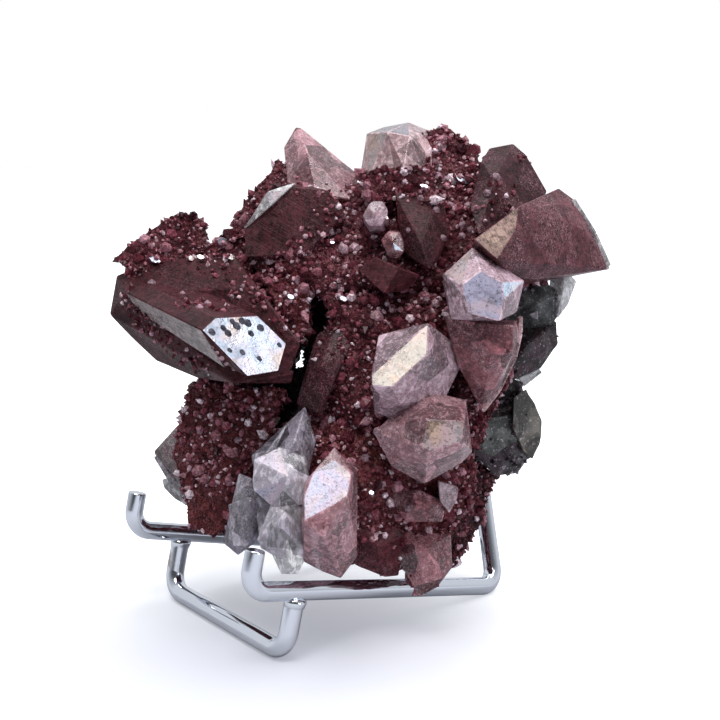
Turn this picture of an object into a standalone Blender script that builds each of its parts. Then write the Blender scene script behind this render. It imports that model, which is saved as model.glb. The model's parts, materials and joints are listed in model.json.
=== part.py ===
"""A dark red quartz cluster that rests on a bent wire display stand.

Lengths below are in millimetres and the model is built in metres, +Z up. The stand faces -Y. The origin is
under the middle of the foot bar, on the surface that the stand stands on.
"""
import math
import random

import bmesh
import bpy
from mathutils import Matrix, Vector
from mathutils.bvhtree import BVHTree

for old_object in list(bpy.data.objects):
    bpy.data.objects.remove(old_object)

MM = 0.001

# Stand: one 4 mm wire bent into the frame, and another into the foot under it.
WIRE_RADIUS = 2.0
WIRE_SIDES = 12
RAIL_LENGTH = 72.5
RAIL_SLOPE = math.radians(13.0)
RAIL_SPLAY = math.radians(5.5)
REAR_SPACING = 34.6
HOOK_HEIGHT = 8.4
LOOP_HEIGHT = 30.0
LOOP_INWARD = math.radians(26.7)
LOOP_BACKWARD = math.radians(12.5)
WELD_BEHIND_HOOK = 12.5
BEND_RADIUS = 4.5
LOOP_TOP_RADIUS = 1.6
BEND_STEPS = 5
CLEARANCE = 0.3

# Cluster: its show face is turned from the stand's front and leans back on the rails.
FACE_CENTRE = Vector((10.0, 28.4, 56.4))
FACE_TURN = math.radians(53.5)
FACE_LEAN = math.radians(-11.2)

FLAT_ENOUGH = math.radians(0.7)
SAME_FACE = math.radians(0.05)
SMALLEST_EDGE = 0.0001 * MM
DRUSE_SEED = 7


def material(name, colour, roughness, metallic):
    """A plain Principled material."""
    made = bpy.data.materials.new(name)
    made.use_nodes = True
    shader = made.node_tree.nodes["Principled BSDF"]
    shader.inputs["Base Color"].default_value = (*colour, 1.0)
    shader.inputs["Roughness"].default_value = roughness
    shader.inputs["Metallic"].default_value = metallic
    return made


def add_object(name, bm, finish=None):
    """Turns a bmesh in millimetres into an object in metres."""
    bmesh.ops.scale(bm, vec=(MM, MM, MM), verts=bm.verts)
    bmesh.ops.recalc_face_normals(bm, faces=bm.faces)
    mesh = bpy.data.meshes.new(name)
    bm.to_mesh(mesh)
    bm.free()
    made = bpy.data.objects.new(name, mesh)
    bpy.context.scene.collection.objects.link(made)
    if finish:
        mesh.materials.append(finish)
    return made


def as_helper(helper):
    """Keeps a Boolean operand out of the finished part."""
    helper.hide_render = True
    helper.display_type = "WIRE"
    return helper


# Wire

def rounded_path(corners, radii):
    """The wire's centre line: straight runs between corners, with an arc in each corner."""
    path = [corners[0]]
    for before, corner, after, radius in zip(corners, corners[1:], corners[2:], radii):
        inward = (before - corner).normalized()
        outward = (after - corner).normalized()
        half_angle = inward.angle(outward) / 2
        centre = corner + (inward + outward).normalized() * radius / math.sin(half_angle)
        start = corner + inward * radius / math.tan(half_angle) - centre
        end = corner + outward * radius / math.tan(half_angle) - centre
        turn = start.angle(end)
        axis = start.cross(end).normalized()
        for step in range(BEND_STEPS + 1):
            path.append(centre + Matrix.Rotation(turn * step / BEND_STEPS, 3, axis) @ start)
    path.append(corners[-1])
    return path


def wire(path, radius, flat_down_at=None):
    """A closed wire along a path. One of its flats faces straight down at the path point that is named."""
    tangents = []
    for index in range(len(path)):
        ahead = path[min(index + 1, len(path) - 1)]
        behind = path[max(index - 1, 0)]
        tangents.append((ahead - behind).normalized())
    side = tangents[0].orthogonal().normalized()
    sides = [side]
    for before, now in zip(tangents, tangents[1:]):
        side = before.rotation_difference(now) @ side
        sides.append(side.normalized())
    turn = 0.0
    if flat_down_at is not None:
        down = Vector((0, 0, -1))
        side = sides[flat_down_at]
        other = tangents[flat_down_at].cross(side)
        turn = math.atan2(down.dot(other), down.dot(side)) + math.pi / WIRE_SIDES
    bm = bmesh.new()
    rings = []
    for point, tangent, side in zip(path, tangents, sides):
        other = tangent.cross(side)
        ring = []
        for corner in range(WIRE_SIDES):
            angle = turn + 2 * math.pi * corner / WIRE_SIDES
            ring.append(bm.verts.new(point + radius * (math.cos(angle) * side + math.sin(angle) * other)))
        rings.append(ring)
    for ring, following in zip(rings, rings[1:]):
        for corner in range(WIRE_SIDES):
            beside = (corner + 1) % WIRE_SIDES
            bm.faces.new((ring[corner], ring[beside], following[beside], following[corner]))
    bm.faces.new(rings[0])
    bm.faces.new(rings[-1])
    return bm


def frame_corners(rear_height):
    """The frame wire's corners from the hook at +X round to the hook at -X."""
    uphill = Vector((0, -math.cos(RAIL_SLOPE), math.sin(RAIL_SLOPE)))
    upright = Vector((0, math.sin(RAIL_SLOPE), math.cos(RAIL_SLOPE)))
    rear = Vector((REAR_SPACING / 2, 0, rear_height))
    front = rear + RAIL_LENGTH * uphill + Vector((RAIL_LENGTH * math.sin(RAIL_SPLAY), 0, 0))
    tip = front + HOOK_HEIGHT * upright
    inward = LOOP_HEIGHT * math.tan(LOOP_INWARD)
    top = rear + Vector((-inward, LOOP_HEIGHT * math.tan(LOOP_BACKWARD), LOOP_HEIGHT))
    half = [tip, front, rear, top]
    mirrored = [Vector((-corner.x, corner.y, corner.z)) for corner in reversed(half)]
    return half + mirrored


def lowest(bm):
    return min(vertex.co.z for vertex in bm.verts)


FRAME_RADII = [BEND_RADIUS, BEND_RADIUS, LOOP_TOP_RADIUS, LOOP_TOP_RADIUS, BEND_RADIUS, BEND_RADIUS]
trial_wire = wire(rounded_path(frame_corners(0.0), FRAME_RADII), WIRE_RADIUS)
REAR_HEIGHT = -lowest(trial_wire)
trial_wire.free()

frame_line = frame_corners(REAR_HEIGHT)
hook_corner, rear_corner = frame_line[1], frame_line[2]
weld_point = hook_corner + (rear_corner - hook_corner).normalized() * WELD_BEHIND_HOOK
bar_height = WIRE_RADIUS * math.cos(math.pi / WIRE_SIDES)
leg_direction = Vector((0, -math.sin(RAIL_SLOPE), -math.cos(RAIL_SLOPE)))
leg_length = (weld_point.z - bar_height) / math.cos(RAIL_SLOPE)
foot_corner = weld_point + leg_direction * leg_length
leg_top = weld_point + leg_direction * (WIRE_RADIUS + CLEARANCE)

# The whole stand moves back so that the origin lies under the middle of the foot bar.
to_origin = Vector((0, -foot_corner.y, 0))
frame_path = [point + to_origin for point in rounded_path(frame_line, FRAME_RADII)]
foot_line = [leg_top, foot_corner, Vector((-foot_corner.x, foot_corner.y, foot_corner.z)),
             Vector((-leg_top.x, leg_top.y, leg_top.z))]
foot_path = [point + to_origin for point in rounded_path(foot_line, [BEND_RADIUS, BEND_RADIUS])]

chrome = material("chrome", (0.62, 0.64, 0.67), 0.08, 1.0)
stand_frame = add_object("stand_frame", wire(frame_path, WIRE_RADIUS), chrome)
stand_foot = add_object("stand_foot", wire(foot_path, WIRE_RADIUS, flat_down_at=BEND_STEPS + 1), chrome)
frame_clearance = as_helper(add_object("frame_clearance", wire(frame_path, WIRE_RADIUS + CLEARANCE)))


# Crystals. Their corners are (across, back, up) from the middle of the show face, back being away from the
# viewer.

show_face = bpy.data.objects.new("show_face", None)
bpy.context.scene.collection.objects.link(show_face)
show_face.location = FACE_CENTRE * MM
show_face.rotation_euler = (Matrix.Rotation(FACE_TURN, 3, "Z") @ Matrix.Rotation(FACE_LEAN, 3, "X")).to_euler()


def facet(back, outline, across=0.0, up=0.0):
    """A flat crystal face: its outline seen from the front, its depth, and its slope across and up."""
    middle_x = sum(x for x, z in outline) / len(outline)
    middle_z = sum(z for x, z in outline) / len(outline)
    return [(x, back + across * (x - middle_x) + up * (z - middle_z), z) for x, z in outline]


def root(back, outline, shrink):
    """Where a crystal ends inside the mass: its outline drawn in towards the middle."""
    middle_x = sum(x for x, z in outline) / len(outline)
    middle_z = sum(z for x, z in outline) / len(outline)
    return [(middle_x + shrink * (x - middle_x), back, middle_z + shrink * (z - middle_z)) for x, z in outline]


def convex(corners):
    """The closed solid stretched over a few corners."""
    bm = bmesh.new()
    for corner in corners:
        bm.verts.new(corner)
    hull = bmesh.ops.convex_hull(bm, input=bm.verts)
    spare = [item for item in hull["geom_interior"] + hull["geom_unused"]
             if isinstance(item, bmesh.types.BMVert)]
    bmesh.ops.delete(bm, geom=list(set(spare)), context="VERTS")
    bmesh.ops.dissolve_limit(bm, angle_limit=FLAT_ENOUGH, verts=bm.verts, edges=bm.edges)
    bmesh.ops.triangulate(bm, faces=bm.faces)
    return bm


def quartz(base, tip, width, turn, point=1.1):
    """The corners of a six-sided prism that ends in a six-sided point."""
    base, tip = Vector(base), Vector(tip)
    axis = (tip - base).normalized()
    side = Matrix.Rotation(turn, 3, axis) @ axis.orthogonal().normalized()
    other = axis.cross(side)
    shoulder = tip - axis * point * width / 2
    corners = [tip]
    for corner in range(6):
        reach = width / 2 * (math.cos(math.pi * corner / 3) * side + math.sin(math.pi * corner / 3) * other)
        corners.append(shoulder + reach)
        corners.append(base + reach)
    return corners


crystals = bpy.data.collections.new("crystals")


def crystal(name, *corner_groups):
    """One crystal or block of the cluster, as an operand of its union."""
    made = add_object(name, convex([corner for group in corner_groups for corner in group]))
    made.parent = show_face
    as_helper(made)
    crystals.objects.link(made)
    return made


def big_crystals():
    """The crystals that are told apart from a step away, from the left to the right."""
    bright_hexagon = [(-30.5, 6), (-28, 8.5), (-20, 9), (-14.5, 3.5), (-16, -2), (-22, -3), (-25, 0.5)]
    crystal("left_blade", facet(-24, bright_hexagon, across=0.45, up=0.05),
            [(-49.5, -1, 14.5), (-52.5, 4, 18.5), (-43.5, 6, 22), (-26, -3, 22), (-21, -11, 15)],
            [(-12, -16, 3.5), (-13.5, -16, -2.5), (-14, -14, -4.5), (-25.5, -20, -4.5)],
            [(-54, 3, 10), (-48.5, -2, 4.5), (-43.5, -6, 0), (-37.5, -10, -2), (-34, -12, -3.5)],
            [(-44, 12, 15), (-32, 14, 6), (-20, 12, 12)])

    dark_outline = [(-24, 28), (-15.5, 36.5), (-6.5, 35.5), (-3, 30.5), (-11, 22), (-23.5, 21.5)]
    crystal("upper_left_prism", facet(-7, dark_outline, across=-0.05, up=0.15),
            [(-24.3, -3, 28), (-20.3, -1, 34), (-16, -1, 37.5), (-13.5, -2, 37.7)], root(12, dark_outline, 0.7))

    crystal("pink_tip", [(-14, 8, 51), (-12.8, 8, 50.8), (-16.5, 7, 46.5), (-6.5, 7, 44), (0, 8, 40.5)],
            [(-15.5, 1, 38), (-11, 0, 44), (-9, -4, 35), (-2, -3, 34)],
            [(-13, 16, 38), (-3, 17, 37), (-9, 14, 45), (-9, 16, 28)])

    crystal("top_pale_prism",
            [(1.5, 4, 49), (5.9, -1, 48.5), (10.5, -3, 47.3), (15.3, 0, 42.4), (15.3, 9, 50.4)],
            [(5.2, 8, 51), (10.7, 9, 52.2), (0.2, 4, 41), (5.1, -1, 42.3), (9.2, -5, 40.8)],
            [(1.3, 0, 37), (8.3, -6, 35), (14.7, -4, 35.6), (2, 16, 46), (8, 18, 48), (14, 17, 46),
             (8, 16, 34)])

    crystal("upper_right_prism", [(28, 5, 46), (33.3, 7, 47.3), (36, 7, 45), (40.4, 5, 36.7), (26, 1, 43)],
            [(24.4, -8, 26.3), (28.1, -4, 38.1), (23, -5, 32.4), (33.3, -6, 27), (37, 0, 30)],
            [(28, 18, 40), (35, 20, 40), (38, 18, 32), (30, 18, 24)])

    tan_corners = [(22, -27, 23.5), (31.5, -18, 30.7), (30.5, -20, 25), (26.5, -25, 19.5)]
    crystal("right_horn", tan_corners, [(41.4, -6, 36), (44.7, -5, 33.8), (47, -5, 30.7), (49.1, -5, 26.5)],
            [(50.9, -5, 22.8), (52.3, -5, 19.2), (29.9, -22, 16.5), (34.9, -18, 16.4), (38.1, -15, 17.9)],
            [(46.1, -9, 20), (43.3, -9, 32.5), (46.3, -12, 27.3), (22, -12, 20), (32, 6, 26), (40, 8, 28)],
            [(44, 6, 20), (34, 2, 16)])

    lilac_front = [(19.4, 14.6), (23.1, 17.3), (27, 15.2), (27.5, 11.6), (26.6, 7.7), (20.4, 9.2)]
    lilac_outline = [(16, 16.7), (21.9, 22.1), (27.9, 18.5), (32.3, 15.8), (30.8, 9.6), (23.1, 7.8),
                     (17.7, 8.1)]
    crystal("lilac_prism", facet(-31, lilac_front, across=0.12, up=0.15),
            facet(-25, lilac_outline, across=0.3), root(2, lilac_outline, 0.8))

    brown_front = [(23.3, 7.3), (29.8, 6.9), (29.5, 1.5), (25.4, 1.5)]
    brown_outline = [(16.6, 8.8), (31.2, 8.2), (32, 5.9), (31, 0.8), (27.7, -5.7), (24.4, -9.9), (22.8, -7),
                     (19.3, -0.8), (17.4, 5.7)]
    crystal("brown_prism", facet(-27.5, brown_front, across=0.1, up=0.2),
            facet(-20, brown_outline, across=0.45, up=-0.1), root(4, brown_outline, 0.8))

    cream_face = [(2.2, -2.6), (4.4, -0.9), (13.2, 7.4), (12.9, 1.3), (6.1, -4.9), (2.3, -4.6)]
    cream_outline = [(2.9, -9.9), (2.4, -5), (3.7, 5.1), (10.1, 6.8), (15.6, 5.9), (18.9, 3.3), (19.9, -1.2),
                     (16.8, -7.4), (6.2, -11.3)]
    crystal("cream_face_prism", facet(-30, cream_face, across=-0.15, up=0.45),
            facet(-22, cream_outline, across=0.15), [(8, -29, -8)], root(5, cream_outline, 0.8))

    tan_face = [(12.7, -11.1), (15.1, -11.2), (20, -11.5), (19.7, -15.4), (13.2, -17.1), (11.6, -16.2)]
    tan_outline = [(2.7, -13.8), (6.2, -20.6), (12.6, -24.1), (20, -20.1), (22.2, -17.9), (21, -7.6),
                   (17.9, -7.2), (11.9, -5.6), (8.3, -9.9)]
    crystal("tan_face_prism", facet(-31, tan_face, across=0.2, up=0.1),
            facet(-23, tan_outline, across=0.2), [(7.5, -28, -13.5)], root(5, tan_outline, 0.8))

    white_hexagon = [(-4.9, -19.3), (-1.6, -22.1), (-2.3, -26.1), (-4.6, -27.7), (-10.7, -30.8),
                     (-10.9, -26.3), (-9.1, -21.6)]
    white_outline = [(-5, -17), (-0.4, -21.8), (-1.1, -26.9), (-2.8, -34.3), (-0.6, -39.1), (-3.8, -43.4),
                     (-7.5, -42), (-11.2, -40), (-12.1, -32.1), (-11, -24)]
    crystal("lower_face_prism", facet(-25, white_hexagon, up=0.5),
            facet(-19, white_outline, up=-0.1), [(-7, -27.5, -34)], root(3, white_outline, 0.8))

    spike_outline = [(-11.2, -9.3), (-14.9, -13), (-18.5, -17.4), (-22, -19.1), (-20.7, -25.3), (-17.8, -29),
                     (-12.8, -24.3), (-10.2, -22.1), (-8.9, -16.2)]
    crystal("clear_spike", facet(-14, spike_outline, up=0.35), [(-13, -19, -16), (-17, -20, -23)],
            root(4, spike_outline, 0.8))

    foot_outline = [(-17.4, -28.3), (-19.6, -34.3), (-17.6, -38.2), (-15.7, -42.5), (-12.4, -42.5),
                    (-10.9, -39.6), (-10.9, -31.3), (-13.9, -26.9)]
    crystal("clear_foot", facet(-18, foot_outline, across=-0.1), [(-15, -23, -31), (-14, -21, -39)],
            root(2, foot_outline, 0.75))

    smoky_outline = [(-24.7, -22.8), (-25.9, -28.9), (-26.9, -35), (-27.9, -37), (-24.7, -39.4),
                     (-20.5, -36.2), (-17.8, -29.3), (-20.6, -24.3)]
    crystal("smoky_prism", facet(-13, smoky_outline, across=-0.3, up=0.1),
            [(-22, -18, -28), (-22, -16.5, -35)], root(4, smoky_outline, 0.8))

    low_outline = [(8.8, -34.9), (18.9, -35.9), (19.1, -42.6), (16, -46.6), (12.1, -48.6), (11, -45.6),
                   (7.5, -40.1)]
    crystal("bottom_prism", facet(-4, low_outline, up=0.1), [(13.5, -9, -38.5), (15.5, -7.5, -41.5)],
            root(8, low_outline[:3] + low_outline[-1:], 0.8))

    red_outline = [(6.6, -26.6), (12, -25.9), (17, -28.3), (16.7, -32.4), (9.3, -32.4), (6.8, -28.9)]
    crystal("small_red_prism", facet(-12, red_outline), [(10, -16.5, -28.5), (14, -16, -30)],
            root(2, red_outline, 0.8))

    flake_outline = [(15.7, -24.1), (19.8, -25.3), (19.7, -27.5), (18, -30.6), (16.1, -28.1)]
    crystal("pale_flake", facet(-15, flake_outline, across=0.4), root(0, flake_outline, 0.8))

    crystal("upper_centre_prism",
            facet(-9, [(7.3, 34.7), (12, 30.8), (16.3, 21.1), (9.2, 22), (7.8, 29.6)], up=0.1),
            [(14.2, -14, 18.6), (12.5, -13, 24), (19, -6, 27), (17, -4, 35), (9, 6, 34), (16, 6, 20)])
    crystal("cleft_wall_prism", [(-9, -6, 5.5), (-4.7, -9, 8.2), (-2, -12, 3.1), (-5.1, -14, -4.1)],
            [(-7.8, -13, -10.6), (-12.2, -8, -11.2), (-13.1, -9, -8.4), (-8, -13, -1), (0, 4, 4),
             (-8, 8, -8)])
    crystal("centre_tip_prism", [(-0.4, -11, 18.7), (4.8, -16, 13.6), (7.7, -15, 18.9), (3.2, -12, 21.3)],
            [(12.4, -12, 17.5), (9.1, -13, 14.2), (2, 2, 20), (10, 2, 16)])
    crystal("left_corner",
            [(-45.7, 13, -20), (-39.9, 9, -14), (-43.6, 13, -24.6), (-39, 5, -26), (-38, 4, -17)],
            [(-34, 18, -16), (-34, 20, -26)])
    crystal("left_flake", [(-44.2, 15, -26.4), (-43.7, 15, -28.4), (-41.4, 14, -30.5), (-38.3, 12, -32)],
            [(-38, 8, -26), (-34, 20, -24), (-34, 20, -32)])


def druse_masses():
    """The lumpy ground between the crystals, thick enough to carry them."""
    left_mass = [(-35.5, -4.2), (-38.5, -13.2), (-39.5, -21.2), (-36.1, -32.3), (-35.7, -34.8), (-31.3, -36.6),
                 (-27, -35), (-24, -26), (-20.8, -12), (-15, -6)]
    crystal("lower_left_mass", facet(-4, left_mass, across=-0.45, up=0.05),
            [(-30, -6, -16), (-27, -8, -24)], root(23, left_mass, 0.85))
    upper_mass = [(-24, 23), (-20.5, 33), (-12.6, 35), (-2, 38), (3, 38.5), (14.7, 38), (25, 37.5), (33.5, 30),
                  (29, 18), (19.9, 12.6), (8.4, 12.6), (-3, 12.6), (-8.8, 14.5), (-20.5, 15.5)]
    crystal("upper_mass", facet(-3, upper_mass, up=0.25), [(-12, -9, 20), (2, -10, 17), (14, -9, 17)],
            root(21, upper_mass, 0.9))
    middle_mass = [(-6.2, 13.5), (8.3, 14.1), (18.7, 13), (29.1, 12), (31, -4.2), (25, -16.6), (8.3, -16),
                   (-4.2, -14), (-8.7, -9), (-7.3, 4.2)]
    crystal("middle_mass", facet(-9, middle_mass), [(2, -12, 6), (0, -13, -9)], root(24, middle_mass, 0.9))
    lower_mass = [(-12.4, -10), (-6.2, -8), (7.2, -12.4), (22.7, -16.5), (25, -26.9), (19.6, -35.1),
                  (13, -42), (4, -43.3), (-1.7, -40.9), (-12.4, -39.3), (-18.6, -36.2), (-20.3, -22.7),
                  (-19, -16.5)]
    crystal("lower_mass", facet(-6, lower_mass, up=-0.05), [(1, -17, -25), (3, -13, -33), (4, -10, -40)],
            root(20, lower_mass, 0.8))
    right_edge = [(29.9, -25), (26.8, -33.1), (25.6, -35.5), (21.4, -43.1), (19.6, -44.3), (16, -36),
                  (18, -26), (23.4, -20)]
    crystal("lower_right_mass", facet(3, right_edge, across=0.5), root(17, right_edge, 0.8))
    crystal("top_knob",
            facet(4, [(14.8, 49.3), (17.2, 51), (19.6, 50.6), (25.3, 46), (27, 38), (15, 38)], up=0.3),
            root(16, [(15.5, 47), (24, 45), (27, 36), (15, 36)], 0.9))
    ridge = [(-53.5, 22), (-49, 26), (-44, 29), (-38.5, 33), (-34, 30.5), (-32.5, 24), (-44, 18)]
    crystal("left_ridge", facet(4, ridge, up=0.2), root(13, [(-51, 22), (-38, 31), (-34, 28), (-42, 18)], 0.95))
    crystal("notch_druse", [(-33, 3, 24.5), (-31, -2, 19), (-22, -4, 18), (-21, -1, 27)],
            [(-27, 3, 29), (-28, 10, 20)])
    crystal("saw_ridge", [(-30, 0, 24), (-26.5, 1, 30.5), (-22.5, 2, 37), (-17.5, 4, 44), (-14, 3, 40)],
            [(-18, 12, 36), (-26, 12, 27), (-20, -3, 28), (-16, 8, 42)])


def broken_rock():
    """The grey broken quartz at the right edge and the broken back, where the cluster came off its wall."""
    top_rock = [(38.7, 18.3), (46.7, 17), (44.5, 12.2), (42.2, 9.2), (30, 7), (30, 16)]
    crystal("right_rock_top", facet(2, top_rock, across=0.3),
            [(39, -3, 14), (40, 14, 16), (44, 10, 13), (36, 14, 10)])
    middle_rock = [(42.2, 10), (42.2, 3.9), (38.3, -2.2), (34, -5.6), (28, -5), (28, 9)]
    crystal("right_rock_middle", facet(3, middle_rock, across=0.4),
            [(35, -4, 3), (38, 14, 5), (34, 16, -2), (37, 13, 9)])
    low_rock = [(35, -5.6), (36.5, -8.6), (38.8, -12.3), (38.2, -20.2), (33.9, -24), (29, -25), (24, -19.4),
                (25, -10), (30, -5)]
    crystal("right_rock_low", facet(3, low_rock, across=0.5, up=-0.05), [(33, -3, -15)],
            root(19, low_rock, 0.8))
    upper_back = [(-22, 22), (-16, 34), (14, 42), (30, 40), (36, 28), (32, 10), (-8, 10)]
    crystal("back_upper", facet(10, upper_back),
            [(-12, 24, 26), (6, 27, 34), (22, 25, 33), (28, 25, 20), (4, 28, 14), (-10, 25, 16)])
    left_back = [(-38, 16), (-20, 23), (-9, 16), (-9, -4), (-14, -14), (-31, -10), (-34, 4)]
    crystal("back_left", facet(8, left_back), [(-30, 20, 13), (-14, 25, 14), (-12, 24, -8), (-27, 21, -6)])
    crystal("back_middle", facet(10, [(-11, 15), (33, 14), (35, -2), (30, -16), (2, -18), (-12, -12)]),
            [(0, 28, 9), (24, 27, 8), (25, 26, -10), (4, 29, -11), (-9, 25, -6)])
    low_back = [(-34, -12), (-18, -8), (22, -12), (26, -26), (19, -36), (-10, -38), (-32, -34)]
    crystal("back_low", facet(8, low_back),
            [(-27, 26, -20), (-6, 27, -17), (16, 24, -18), (14, 22, -30), (-8, 24, -33), (-27, 26, -34)])


def back_crystals():
    """Crystals that stand on the back, where the show face hides them."""
    crystal("back_prism_tall", quartz((4, 18, 20), (-6, 33, 40), 11, 0.3))
    crystal("back_prism_low", quartz((12, 20, -4), (24, 33, 6), 12, 0.9))
    crystal("back_prism_left", quartz((-20, 16, 4), (-34, 27, 12), 11, 0.5))
    crystal("back_prism_foot", quartz((-8, 18, -22), (-20, 33, -26), 12, 0.2))
    crystal("back_prism_small", quartz((8, 20, 10), (14, 34, 20), 8, 0.7))
    crystal("back_prism_side", quartz((22, 14, 24), (34, 25, 34), 9, 0.4))


def union(target_name, operands, finish=None):
    """The solid that closed operands make together, as a plain mesh in the show face's own frame."""
    first, *rest = operands
    group = bpy.data.collections.new(target_name)
    for operand in rest:
        group.objects.link(operand)
    made = bpy.data.objects.new(target_name, first.data.copy())
    bpy.context.scene.collection.objects.link(made)
    made.parent = show_face
    join = made.modifiers.new("join", "BOOLEAN")
    join.operation = "UNION"
    join.operand_type = "COLLECTION"
    join.collection = group
    apply_modifiers(made)
    if finish:
        made.data.materials.clear()
        made.data.materials.append(finish)
    return made


def apply_modifiers(target):
    """Replaces an object's mesh with what its modifiers make of it."""
    bpy.context.view_layer.update()
    settled = bpy.data.meshes.new_from_object(target.evaluated_get(bpy.context.evaluated_depsgraph_get()))
    target.modifiers.clear()
    target.data = settled


def tidy_mesh(target):
    """Joins the triangles that a union leaves on one flat face, and drops edges too short to matter."""
    bm = bmesh.new()
    bm.from_mesh(target.data)
    bmesh.ops.remove_doubles(bm, verts=bm.verts, dist=SMALLEST_EDGE)
    bmesh.ops.dissolve_degenerate(bm, dist=SMALLEST_EDGE, edges=bm.edges)
    bmesh.ops.dissolve_limit(bm, angle_limit=SAME_FACE, verts=bm.verts, edges=bm.edges)
    bmesh.ops.triangulate(bm, faces=bm.faces)
    bm.to_mesh(target.data)
    bm.free()


def druse_crystal(foot, outward, size, chance):
    """A small crystal of the crust, stood on the surface and leaning a little."""
    lean = Vector((chance.uniform(-1, 1), chance.uniform(-1, 1), chance.uniform(-1, 1))) * 0.45
    direction = (outward + lean).normalized()
    length = size * chance.uniform(0.55, 0.95)
    return quartz(foot - direction * size * 0.7, foot + direction * length, size, chance.uniform(0, 1))


# Rows of larger druse crystals on the ridges: corners of the row, how many, their width, and which way they
# point.
RIDGES = {
    "left_ridge_row": ([(-52.5, 7, 22.5), (-48.5, 7, 27), (-43.5, 7, 29), (-39.5, 8, 31.5), (-33.5, 8, 30)],
                       11, 4.0, (-0.3, -0.2, 1.0)),
    "left_ridge_front": ([(-51, 2, 21.5), (-44, 2, 24.5), (-35, 1, 26)], 7, 4.2, (-0.1, -0.9, 0.6)),
    "saw_ridge_row": ([(-29.5, 1, 24), (-26, 1.5, 30.5), (-22, 3, 37), (-18.5, 4, 42)],
                      9, 3.6, (-0.9, -0.1, 0.5)),
    "top_knob_row": ([(15, 5, 47.5), (18, 6, 49.5), (22, 5, 47), (26, 4, 44.5)], 7, 3.6, (0.1, -0.3, 1.0)),
    "low_edge_row": ([(22, 2, -41), (10, 0, -46), (4, -6, -42)], 5, 3.0, (0.1, -0.6, -0.9)),
    "right_edge_row": ([(36, 2, -10), (37, 3, -18), (30, 4, -25)], 5, 3.4, (1.0, -0.3, -0.2)),
}

# Patches of druse on the show face: the middle and half sizes across and up, how many crystals, and their
# width.
PATCHES = {
    "upper_slope": ((-12, 19), (11, 9), 22, 3.0),
    "upper_right": ((20, 33), (9, 8), 12, 2.8),
    "centre": ((1, 10), (8, 8), 12, 2.8),
    "lower_left": ((-30, -18), (7, 12), 20, 3.2),
    "bottom": ((4, -32), (7, 9), 9, 2.6),
    "right_low": ((30, -17), (6, 7), 8, 3.2),
}


def druse_rows(chance):
    """Druse crystals along the ridges that show against the light."""
    made = []
    for name, (corners, count, size, outward) in RIDGES.items():
        corners = [Vector(corner) for corner in corners]
        runs = list(zip(corners, corners[1:]))
        lengths = [(end - start).length for start, end in runs]
        for number in range(count):
            along = sum(lengths) * (number + 0.5) / count
            for (start, end), length in zip(runs, lengths):
                if along <= length:
                    break
                along -= length
            foot = start.lerp(end, along / length)
            shape_size = size * chance.uniform(0.75, 1.2)
            shape = druse_crystal(foot, Vector(outward).normalized(), shape_size, chance)
            made.append(crystal(f"{name}_{number}", shape))
    return made


def druse_patches(ground, chance):
    """Druse crystals stood on the show face wherever a straight look from the front meets a patch."""
    surface = BVHTree.FromObject(ground, bpy.context.evaluated_depsgraph_get())
    made = []
    for name, (middle, half, count, size) in PATCHES.items():
        for number in range(count):
            across = middle[0] + half[0] * chance.uniform(-1, 1)
            height = middle[1] + half[1] * chance.uniform(-1, 1)
            start = Vector((across, -60, height)) * MM
            place, normal, _, _ = surface.ray_cast(start, Vector((0, 1, 0)))
            if place is None:
                continue
            shape = druse_crystal(place / MM, normal, size * chance.uniform(0.7, 1.25), chance)
            made.append(crystal(f"{name}_{number}", shape))
    return made


def light_slit():
    """The narrow hole at the bottom of the dark cleft, through which the light shows."""
    near = [(-12.3, -30, 2.2), (-10.7, -30, 2.0), (-12.6, -30, -1.6), (-13.7, -30, -1.9)]
    far = [(-13.4, 45, 3.0), (-11.0, 45, 2.8), (-13.4, 45, -2.4), (-15.4, 45, -2.6)]
    made = as_helper(add_object("light_slit", convex(near + far)))
    made.parent = show_face
    return made


def cut(target, cutter):
    trim = target.modifiers.new(cutter.name, "BOOLEAN")
    trim.operation = "DIFFERENCE"
    trim.object = cutter


big_crystals()
druse_masses()
broken_rock()
back_crystals()
dark_quartz = material("dark_quartz", (0.11, 0.035, 0.045), 0.22, 0.0)
ground_solid = union("ground_solid", list(crystals.objects))
as_helper(ground_solid)
druse_chance = random.Random(DRUSE_SEED)
druse = druse_rows(druse_chance) + druse_patches(ground_solid, druse_chance)
crystal_cluster = union("crystal_cluster", [ground_solid] + druse, dark_quartz)
cut(crystal_cluster, light_slit())
cut(crystal_cluster, frame_clearance)
apply_modifiers(crystal_cluster)
tidy_mesh(crystal_cluster)
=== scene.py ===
# %% [markdown]
# A quartz cluster on a wire stand, dressed for the camera.
#
# The real thing is a hand-sized group of dark red quartz crystals that grew from one wall. A crust of tiny
# crystals, called druse, covers the ground between the big ones, and a few crystals are clear enough to
# look into. The cluster leans back on two wires of a chrome stand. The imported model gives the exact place
# and size of both, so everything here is built around it and stays where it is.

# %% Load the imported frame
import json
import math
import random

import bmesh
import bpy
from mathutils import Matrix, Vector, noise
from mathutils.bvhtree import BVHTree

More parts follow.
